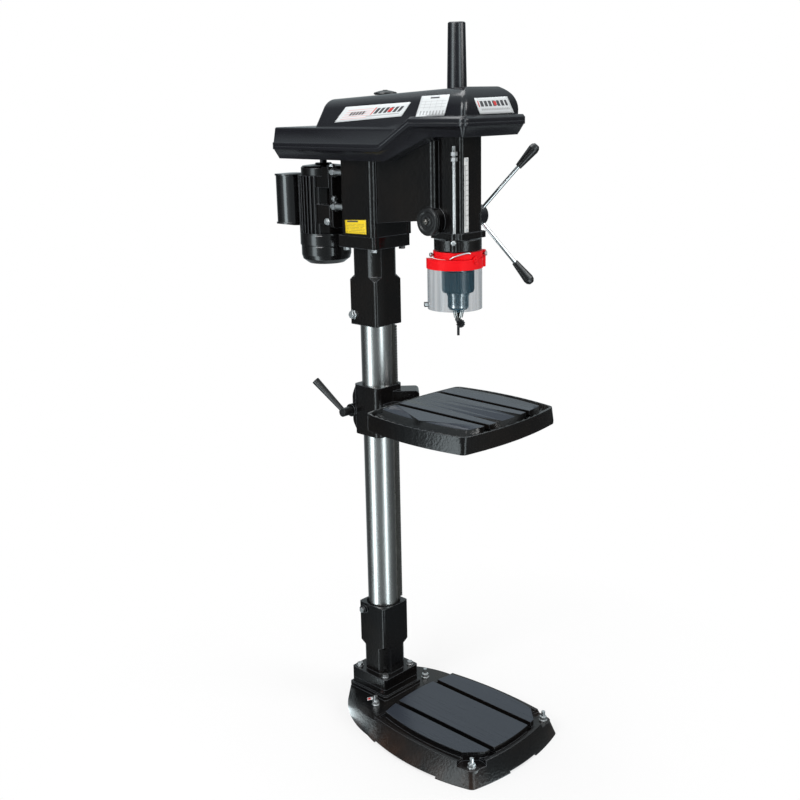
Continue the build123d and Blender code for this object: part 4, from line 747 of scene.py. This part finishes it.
# stickers, laid on the surface that the camera sees within their corners, with plain marks by share of
# width and height; the corners are pixels: low left, low right, high right, high left
stickerInks = {
    "white": (0.66, 0.69, 0.70),
    "yellow": (0.86, 0.62, 0.012),
    "grey": (0.36, 0.37, 0.38),
    "dark": (0.05, 0.05, 0.055),
    "red": (0.55, 0.03, 0.03),
    "pink": (0.66, 0.42, 0.42),
}
vinylSheet = {
    "lift": 0.0004,
    "thick": 0.0003,
    "shine": 0.5,
    "cloud": 30.0,
    "dull": 0.9,
    "rough": 0.3,
    "cloudRough": 0.16,
    "speck": 260.0,
}
stickers = {
    "lid_side_label": {
        "on": "lid_shell",
        "body": "lid_unit",
        "corners": ((334.5, 122.6), (401.6, 116.2), (411, 102), (346, 107)),
        "grid": (26, 6),
        "ground": "white",
        "cloudy": 0.5,
        "slant": 0.05,
        "marks": (
            {"ink": "pink", "u": (0.05, 0.44), "v": (0.14, 0.86), "rows": (7, 0.3)},
            {"ink": "dark", "u": (0.50, 0.93), "v": (0.36, 0.74), "columns": (14, 0.68), "start": 0.5},
            {"ink": "dark", "u": (0.13, 0.36), "v": (0.38, 0.60), "columns": (22, 0.66), "start": 0.13},
            {"ink": "red", "u": (0.46, 0.48), "v": (0.3, 0.8)},
            {"ink": "red", "u": (0.70, 0.755), "v": (0.42, 0.68)},
            {"ink": "grey", "u": (0.42, 0.92), "v": (0.20, 0.27)},
        ),
    },
    "lid_speed_label": {
        "on": "lid_shell",
        "body": "lid_unit",
        "corners": ((415.6, 116.8), (444.3, 115.6), (450, 94.4), (422, 96.2)),
        "grid": (12, 8),
        "ground": "white",
        "cloudy": 0.5,
        "slant": 0.0,
        "marks": (
            {"ink": "grey", "u": (0.06, 0.94), "v": (0.34, 0.78), "rows": (7, 0.09)},
            {"ink": "grey", "u": (0.06, 0.94), "v": (0.34, 0.78), "columns": (5, 0.04), "start": 0.0},
            {"ink": "grey", "u": (0.06, 0.94), "v": (0.06, 0.26), "columns": (9, 0.42), "start": 0.0},
            {"ink": "dark", "u": (0.34, 0.66), "v": (0.85, 0.92)},
        ),
    },
    "lid_front_label": {
        "on": "lid_shell",
        "body": "lid_unit",
        "corners": ((480, 114.3), (514, 112.8), (507, 96.4), (474, 98.2)),
        "grid": (14, 8),
        "ground": "white",
        "cloudy": 0.5,
        "slant": 0.0,
        "marks": (
            {"ink": "dark", "u": (0.12, 0.92), "v": (0.46, 0.80), "columns": (8.2, 0.7), "start": 0.12},
            {"ink": "red", "u": (0.05, 0.08), "v": (0.44, 0.82)},
            {"ink": "red", "u": (0.52, 0.60), "v": (0.5, 0.76)},
            {"ink": "grey", "u": (0.08, 0.92), "v": (0.22, 0.34), "columns": (20, 0.6), "start": 0.0},
        ),
    },
    "head_side_label": {
        "on": "head_casting",
        "body": "stand",
        "corners": ((346, 233), (366.5, 234.6), (366, 220), (345, 220)),
        "grid": (8, 6),
        "ground": "yellow",
        "cloudy": 1.0,
        "slant": 0.0,
        "marks": (
            {"ink": "dark", "u": (0.07, 0.93), "v": (0.10, 0.76), "rows": (9, 0.42),
             "speck": 0.42, "faint": 0.55},
            {"ink": "dark", "u": (0.1, 0.62), "v": (0.84, 0.96)},
        ),
    },
    "base_tag": {
        "on": "base",
        "body": "stand",
        "corners": ((367.5, 700.6), (373, 699.6), (373, 696.8), (367.5, 697.6)),
        "grid": (4, 3),
        "ground": "white",
        "cloudy": 0.5,
        "slant": 0.0,
        "marks": (
            {"ink": "red", "u": (0.08, 0.55), "v": (0.15, 0.85)},
        ),
    },
}


def inked(vinyl, mark, u, v):
    mask = u.within(*mark["u"]) * v.within(*mark["v"])
    if "rows" in mark:
        count, width = mark["rows"]
        mask = mask * (v * count % 1 < width)
    if "columns" in mark:
        count, width = mark["columns"]
        mask = mask * ((u - mark["start"]) * count % 1 < width)
    if "speck" in mark:
        mask = mask * (vinyl.noise(vinylSheet["speck"], 2.0) > mark["speck"]) * mark["faint"]
    return mask


def printedVinyl(name, how):
    vinyl = Finish(name, Specular_IOR_Level=vinylSheet["shine"])
    at = vinyl.split(vinyl.place["UV"])
    v = at["Y"]
    u = at["X"] - v * how["slant"]
    cloud = vinyl.noise(vinylSheet["cloud"], 3.0)
    ground = stickerInks[how["ground"]]
    colour = vinyl.tones(cloud * how["cloudy"], ground, scaled(ground, vinylSheet["dull"]))
    for mark in how["marks"]:
        colour = vinyl.over(inked(vinyl, mark, u, v), colour, opaque(stickerInks[mark["ink"]]))
    vinyl.set("Base Color", colour)
    vinyl.set("Roughness", (vinylSheet["rough"] + cloud * vinylSheet["cloudRough"]).clamped())
    return vinyl.material


def laidGrid(on, corners, across, along):
    surface = surfaceOf(on)
    start = Vector(shot["place"])
    lowLeft, lowRight, highRight, highLeft = (Vector(corner) for corner in corners)
    rows = []
    for j in range(along + 1):
        row = []
        for i in range(across + 1):
            low = lowLeft.lerp(lowRight, i / across)
            high = highLeft.lerp(highRight, i / across)
            hit, normal = surface.ray_cast(start, throughPixel(*low.lerp(high, j / along)))[:2]
            row.append(hit + normal * vinylSheet["lift"])
        rows.append(row)
    return rows


def stickerMesh(name, rows):
    shape = bmesh.new()
    uv = shape.loops.layers.uv.new("UVMap")
    along = len(rows) - 1
    across = len(rows[0]) - 1
    points = [[shape.verts.new(point) for point in row] for row in rows]
    for j in range(along):
        for i in range(across):
            corners = ((i, j), (i + 1, j), (i + 1, j + 1), (i, j + 1))
            face = shape.faces.new([points[up][over] for over, up in corners])
            for loop, (over, up) in zip(face.loops, corners):
                loop[uv].uv = (over / across, up / along)
            face.smooth = True
    bmesh.ops.recalc_face_normals(shape, faces=shape.faces)
    bmesh.ops.solidify(shape, geom=shape.faces[:], thickness=vinylSheet["thick"])
    return meshOfShape(name, shape)


for name, how in stickers.items():
    mesh = stickerMesh(name, laidGrid(how["on"], how["corners"], *how["grid"]))
    addPiece(name, mesh, printedVinyl(name + "Vinyl", how), how["body"])
print("stickers laid:", len(stickers))


# depth scale: a thin plate down the front of the spindle barrel, a mark every 2 mm, a number every 10
depthScale = {
    "left": -0.0255,
    "right": -0.0135,
    "front": -0.288,
    "thick": 0.0012,
    "sunk": 0.0004,
    "low": 1.1815,
    "high": 1.331,
    "bevel": 0.0003,
    "plate": (0.70, 0.71, 0.70),
    "dull": (0.62, 0.63, 0.63),
    "shine": 0.5,
    "rough": 0.28,
    "smear": 50.0,
    "smearRough": 0.2,
    "zero": 1.316,
    "step": 0.002,
    "mark": (0.03, 0.03, 0.03),
    "markWide": 0.0048,
    "markTall": 0.28,
    "longEvery": 5,
    "longWide": 0.0085,
    "longTall": 0.07,
    "marksOver": 0.0003,
    "marksEnd": 0.012,
    "numbers": 10,
    "numberSize": 0.0042,
    "numberThick": 0.00005,
    "numberIn": 0.0022,
    "numberLift": 0.00006,
}
scaleFront = depthScale["front"] - depthScale["thick"]
scaleInk = {"tone": (0.025, 0.025, 0.027), "light": (0.04, 0.04, 0.042), "rough": 0.4, "grain": 200.0}


def plateMesh(name, low, high, bevel):
    shape = bmesh.new()
    bmesh.ops.create_cube(shape, size=1.0)
    size = high - low
    for vert in shape.verts:
        vert.co = (high + low) / 2 + vert.co * size
    bmesh.ops.bevel(shape, geom=shape.edges[:], offset=bevel, segments=2, profile=0.5, affect="EDGES")
    return meshOfShape(name, shape)


def scalePlate(look):
    plate = Finish("scalePlate", Metallic=0.0, Specular_IOR_Level=look["shine"])
    x = plate.axis("X")
    z = plate.axis("Z")
    down = (look["zero"] - z) / look["step"]
    small = (down % 1 < look["markTall"]) * (x < look["left"] + look["markWide"])
    long = (down / look["longEvery"] % 1 < look["longTall"]) * (x < look["left"] + look["longWide"])
    inside = z.within(look["low"] + look["marksEnd"], look["zero"] + look["marksOver"])
    mark = small.larger(long) * inside
    smear = plate.noise(look["smear"], 4.0)
    ground = plate.tones(smear, look["plate"], look["dull"])
    plate.set("Base Color", plate.over(mark, ground, opaque(look["mark"])))
    plate.set("Roughness", (look["rough"] + smear * look["smearRough"]).clamped())
    return plate.material


def numberMesh(name, words):
    curve = bpy.data.curves.new(name, "FONT")
    curve.body = words
    curve.size = depthScale["numberSize"]
    curve.align_x = "CENTER"
    curve.align_y = "CENTER"
    curve.extrude = depthScale["numberThick"]
    return meshOfCurve(name, curve)


low = Vector((depthScale["left"], scaleFront, depthScale["low"]))
high = Vector((depthScale["right"], depthScale["front"] + depthScale["sunk"], depthScale["high"]))
plate = plateMesh("depth_scale", low, high, depthScale["bevel"])
addPiece("depth_scale", plate, scalePlate(depthScale), "stand")
ink = Finish("printInk", Roughness=scaleInk["rough"])
ink.set("Base Color", ink.tones(ink.noise(scaleInk["grain"]), scaleInk["tone"], scaleInk["light"]))
upright = Matrix.Rotation(math.pi / 2, 4, "X")
for count in range(1, depthScale["numbers"] + 1):
    mesh = numberMesh(f"scale_number_{count}", str(count))
    x = depthScale["right"] - depthScale["numberIn"]
    z = depthScale["zero"] - count * depthScale["longEvery"] * depthScale["step"]
    mesh.transform(Matrix.Translation((x, scaleFront - depthScale["numberLift"], z)) @ upright)
    addPiece(f"scale_number_{count}", mesh, ink.material, "stand")
print("depth scale marked")


# guard hardware, each piece by its heading round the spindle: a bent wire clip and three thumb screws
# on the red clamp, and a round boss on the red band
guardRing = {"centre": (0.0, -0.248), "clamp": 0.052, "band": 0.0546}
guardWire = {
    "radius": 0.0017,
    "sunk": 0.8,
    # heading, distance out from the clamp, level
    "path": (
        (204, 0.0010, 1.1284), (207, 0.0012, 1.1302), (216, 0.0008, 1.1342), (226, 0.0004, 1.1376),
        (237, 0.0, 1.1398), (246, 0.0, 1.1404), (250, 0.0, 1.1388),
    ),
}
guardBoss = {
    "heading": 263.5,
    "level": 1.1245,
    "sides": 28,
    "profile": (
        (-0.0015, 0.0082), (0.00231, 0.0082), (0.00336, 0.00779), (0.00336, 0.00656),
        (0.00189, 0.006068), (0.00189, 0.004264), (0.0042, 0.003608), (0.0042, 0.00164),
        (0.00294, 0.001148),
    ),
}
guardScrews = {
    "headings": (306, 322, 147),
    "level": 1.1335,
    "sides": 20,
    "profile": (
        (-0.0015, 0.00225), (0.00315, 0.00225), (0.00324, 0.0045), (0.0081, 0.0045), (0.009, 0.0036),
    ),
}


def outward(heading):
    turn = math.radians(heading)
    return Vector((math.cos(turn), math.sin(turn), 0))


def onRing(heading, reach, level):
    return Vector((*guardRing["centre"], level)) + outward(heading) * reach


def wireMesh(name, points, radius):
    curve = bpy.data.curves.new(name, "CURVE")
    curve.dimensions = "3D"
    curve.bevel_depth = radius
    curve.bevel_resolution = 3
    curve.resolution_u = 8
    curve.use_fill_caps = True
    line = curve.splines.new("NURBS")
    line.points.add(len(points) - 1)
    for point, place in zip(line.points, points):
        point.co = (*place, 1)
    line.use_endpoint_u = True
    line.order_u = 3
    return meshOfCurve(name, curve)


wireReach = guardRing["clamp"] + guardWire["radius"] * guardWire["sunk"]
wirePath = [onRing(heading, wireReach + out, level) for heading, out, level in guardWire["path"]]
wire = wireMesh("guard_wire", wirePath, guardWire["radius"])
addPiece("guard_wire", wire, finishes["zinc"], "quill_unit")
seat = onRing(guardBoss["heading"], guardRing["band"], guardBoss["level"])
boss = turnedMesh("guard_boss", guardBoss, seat, outward(guardBoss["heading"]))
addPiece("guard_boss", boss, finishes["red"], "guard")
for count, heading in enumerate(guardScrews["headings"], 1):
    name = f"guard_screw_{count}"
    seat = onRing(heading, guardRing["clamp"], guardScrews["level"])
    screw = turnedMesh(name, guardScrews, seat, outward(heading))
    addPiece(name, screw, finishes["bolt"], "quill_unit")
print("guard hardware on")


# nut at the middle of the return spring's cup, and the two screws that hold the depth scale
cupNut = {
    "face": (-0.058, -0.213, 1.202),
    "way": (-1, 0, 0),
    "sides": 6,
    "profile": (
        (-0.001, 0.0068), (0.004675, 0.0068), (0.0055, 0.005848),
        (0.0055, 0.0032), (0.00846, 0.0032), (0.009, 0.00224),
    ),
}
scaleScrews = {
    "in": 0.005,
    "way": (0, -1, 0),
    "sides": 20,
    "profile": (
        (-0.001, 0.0027), (0.0008, 0.0027), (0.0015, 0.0018), (0.0016, 0.0008), (0.0011, 0.0006),
    ),
}
nut = turnedMesh("cup_nut", cupNut, Vector(cupNut["face"]), Vector(cupNut["way"]))
addPiece("cup_nut", nut, finishes["rack"], "stand")
screwLevels = (depthScale["low"] + scaleScrews["in"], depthScale["high"] - scaleScrews["in"])
for count, z in enumerate(screwLevels, 1):
    name = f"scale_screw_{count}"
    seat = Vector(((depthScale["left"] + depthScale["right"]) / 2, scaleFront, z))
    screw = turnedMesh(name, scaleScrews, seat, Vector(scaleScrews["way"]))
    addPiece(name, screw, finishes["zinc"], "stand")


# hexagon heads: two bolts on the motor's plate, one on its foot, the screw that holds the depth rod
# in the collar, and the nut at the left of the head's bracket
bolts = {
    "plate_bolt_1": {"at": (-0.042, 0.086, 1.306), "way": (0, 0, 1),
                     "size": 0.0062, "height": 0.0052, "body": "motor_mount"},
    "plate_bolt_2": {"at": (-0.042, 0.082, 1.234), "way": (0, -1, 0),
                     "size": 0.0062, "height": 0.0052, "body": "motor_mount"},
    "foot_bolt": {"at": (-0.050, 0.099, 1.183), "way": (-1, 0, 0),
                  "size": 0.0066, "height": 0.0050, "body": "motor_mount"},
    "rod_screw": {"at": (-0.0488, -0.2789, 1.1615), "way": (-0.84, -0.54, 0),
                  "size": 0.0042, "height": 0.0034, "body": "quill_unit"},
    "bracket_nut": {"at": (-0.042, 0.0315, 0.977), "way": (-1, 0, 0),
                    "size": 0.0090, "height": 0.0080, "body": "stand"},
}
boltHead = {
    "sides": 6,
    "sunk": 0.001,
    "washer": 1.3,
    "washerTop": 0.0009,
    "foot": 0.0011,
    "chamferFrom": 0.85,
    "chamfer": 0.86,
    "face": 0.3,
}


def boltProfile(size, height):
    return (
        (-boltHead["sunk"], size * boltHead["washer"]),
        (boltHead["washerTop"], size * boltHead["washer"]),
        (boltHead["foot"], size),
        (height * boltHead["chamferFrom"], size),
        (height, size * boltHead["chamfer"]),
        (height, size * boltHead["face"]),
    )


for name, bolt in bolts.items():
    look = {"sides": boltHead["sides"], "profile": boltProfile(bolt["size"], bolt["height"])}
    mesh = turnedMesh(name, look, Vector(bolt["at"]), Vector(bolt["way"]).normalized())
    for face in mesh.polygons:
        face.use_smooth = False
    addPiece(name, mesh, finishes["zinc"], bolt["body"])


# thread of the depth rod, wound as one helix from end to end
rodThread = {
    "axis": (-0.041, -0.2743),
    "low": 1.143,
    "high": 1.356,
    "crest": 0.004,
    "root": 0.0034,
    "pitch": 0.002,
    "sides": 16,
}


def threadMesh(name, look):
    shape = bmesh.new()
    half = look["pitch"] / 2
    sides = look["sides"]
    centre = Vector((*look["axis"], 0))
    count = int((look["high"] - look["low"]) / half) - 2  # the last turn climbs one pitch more
    rows = []
    for j in range(count):
        reach = look["root"] if j % 2 else look["crest"]
        row = []
        for k in range(sides):
            turn = 2 * math.pi * k / sides
            z = look["low"] + half * (j + 2 * k / sides)
            point = Vector((reach * math.cos(turn), reach * math.sin(turn), z))
            row.append(shape.verts.new(centre + point))
        rows.append(row)
    for j in range(count - 1):
        for k in range(sides - 1):
            shape.faces.new((rows[j][k], rows[j][k + 1], rows[j + 1][k + 1], rows[j + 1][k]))
        if j + 3 < count:
            shape.faces.new((rows[j][-1], rows[j + 2][0], rows[j + 3][0], rows[j + 1][-1]))
    bmesh.ops.holes_fill(shape, edges=[edge for edge in shape.edges if edge.is_boundary])
    bmesh.ops.recalc_face_normals(shape, faces=shape.faces)
    return meshOfShape(name, shape)


wound = threadMesh("depth_rod_thread", rodThread)
thread = addPiece("depth_rod_thread", wound, finishes["thread"], "quill_unit")
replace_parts(thread, "depth_rod")
print("bolts and thread made")


# studio: pale floor, white surround, three soft lamps
studio = {
    "floor": (0.80, 0.80, 0.80),
    "floorDull": 0.985,
    "floorPatch": 3.0,
    "floorReach": 14.0,
    "floorLevel": -0.0004,
    "centre": (0.0, -0.18),
    "shadow": 0.30,
    "near": 0.42,
    "fade": 0.55,
    "white": (1, 1, 1),
    "fill": 0.52,
    "cool": (0.84, 0.96, 1.0),
    "above": 0.75,
    "aboveFrom": 0.3,
    "aboveOver": 0.4,
    "aim": (0, -0.1, 0.9),
    # place, size, power
    "lamps": {
        "left": ((-3.2, -0.6, 3.0), 2.0, 90),
        "front": ((1.4, -3.4, 2.6), 1.8, 55),
        "top": ((0.2, 0.6, 4.2), 2.4, 70),
    },
    # what shiny pieces see of the white surround, by compass share: panels left and front, dark between
    "panels": (
        (0.0, 1.1), (0.014, 0.9), (0.035, 0.45), (0.07, 0.26), (0.14, 0.22), (0.19, 0.5), (0.21, 4.2),
        (0.23, 4.2), (0.25, 0.6), (0.30, 0.26), (0.36, 0.14), (0.42, 0.08), (0.50, 0.16), (0.60, 0.5),
        (0.66, 0.5), (0.75, 0.12), (0.83, 0.06), (0.872, 0.14), (0.93, 0.6), (0.958, 4.4), (0.984, 4.4),
    ),
}


def seenRays(graph):
    rays = graph.node("ShaderNodeLightPath")
    return rays["Is Camera Ray"].larger(rays["Is Transmission Ray"]), rays["Is Glossy Ray"]


def panelLight(graph, x, y):
    compass = y.heading(x) / (2 * math.pi) + 0.5
    stops = [(at, opaque(scaled(studio["cool"], tone))) for at, tone in studio["panels"]]
    return graph.node("ShaderNodeValToRGB", {"stops": stops}, {0: compass})["Color"]


def paleFloor():
    reach = studio["floorReach"]
    square = ((-reach, -reach), (reach, -reach), (reach, reach), (-reach, reach))
    corners = [(*corner, studio["floorLevel"]) for corner in square]
    mesh = bpy.data.meshes.new("studio_floor")
    mesh.from_pydata(corners, [], [(0, 1, 2, 3)])
    floor = placed("studio_floor", mesh)
    pale = Finish("paleFloor", Roughness=0.9, Specular_IOR_Level=0.0)
    dull = scaled(studio["floor"], studio["floorDull"])
    pale.set("Base Color", pale.tones(pale.noise(studio["floorPatch"]), studio["floor"], dull))
    direct, shiny = seenRays(pale)
    far = ((pale.away("X", "Y", studio["centre"]) - studio["near"]) / studio["fade"]).clamped()
    bright = 1 - studio["shadow"] * (1 - far)
    spot = pale.split(pale.place["Object"])
    shade = pale.over(shiny, opaque(studio["white"]), panelLight(pale, spot["X"], spot["Y"]))
    glow = pale.node("ShaderNodeEmission", None, {"Color": shade})
    lit = Wire(pale.tree, pale.shader.outputs[0])
    values = {0: (direct * bright).larger(shiny), 1: lit, 2: glow["Emission"]}
    mixed = pale.node("ShaderNodeMixShader", None, values)
    plug(pale.tree, pale.tree.nodes["Material Output"].inputs["Surface"], mixed["Shader"])
    mesh.materials.append(pale.material)


def whiteSurround():
    world = bpy.data.worlds.new("surround")
    bpy.context.scene.world = world
    world.use_nodes = True
    sky = Graph(world.node_tree)
    direct, shiny = seenRays(sky)
    seen = direct.larger(shiny)
    way = sky.split(sky.place["Generated"])
    high = ((way["Z"] - studio["aboveFrom"]) / studio["aboveOver"]).clamped()
    overhead = opaque(scaled(studio["cool"], studio["above"]))
    mirror = sky.over(high, panelLight(sky, way["X"], way["Y"]), overhead)
    backdrop = sky.tree.nodes["Background"]
    plug(sky.tree, backdrop.inputs["Strength"], seen + (1 - seen) * studio["fill"])
    plug(sky.tree, backdrop.inputs["Color"], sky.over(shiny, opaque(studio["white"]), mirror))


def softLamp(name, place, size, power):
    lamp = bpy.data.lights.new(name, "AREA")
    lamp.size = size
    lamp.energy = power
    holder = placed(name, lamp)
    holder.location = place
    holder.rotation_mode = "QUATERNION"
    holder.rotation_quaternion = (Vector(studio["aim"]) - Vector(place)).to_track_quat("-Z", "Y")


paleFloor()
whiteSurround()
for name, lamp in studio["lamps"].items():
    softLamp(name + "_lamp", *lamp)
bpy.context.scene.view_settings.view_transform = "Standard"
print("studio lit")
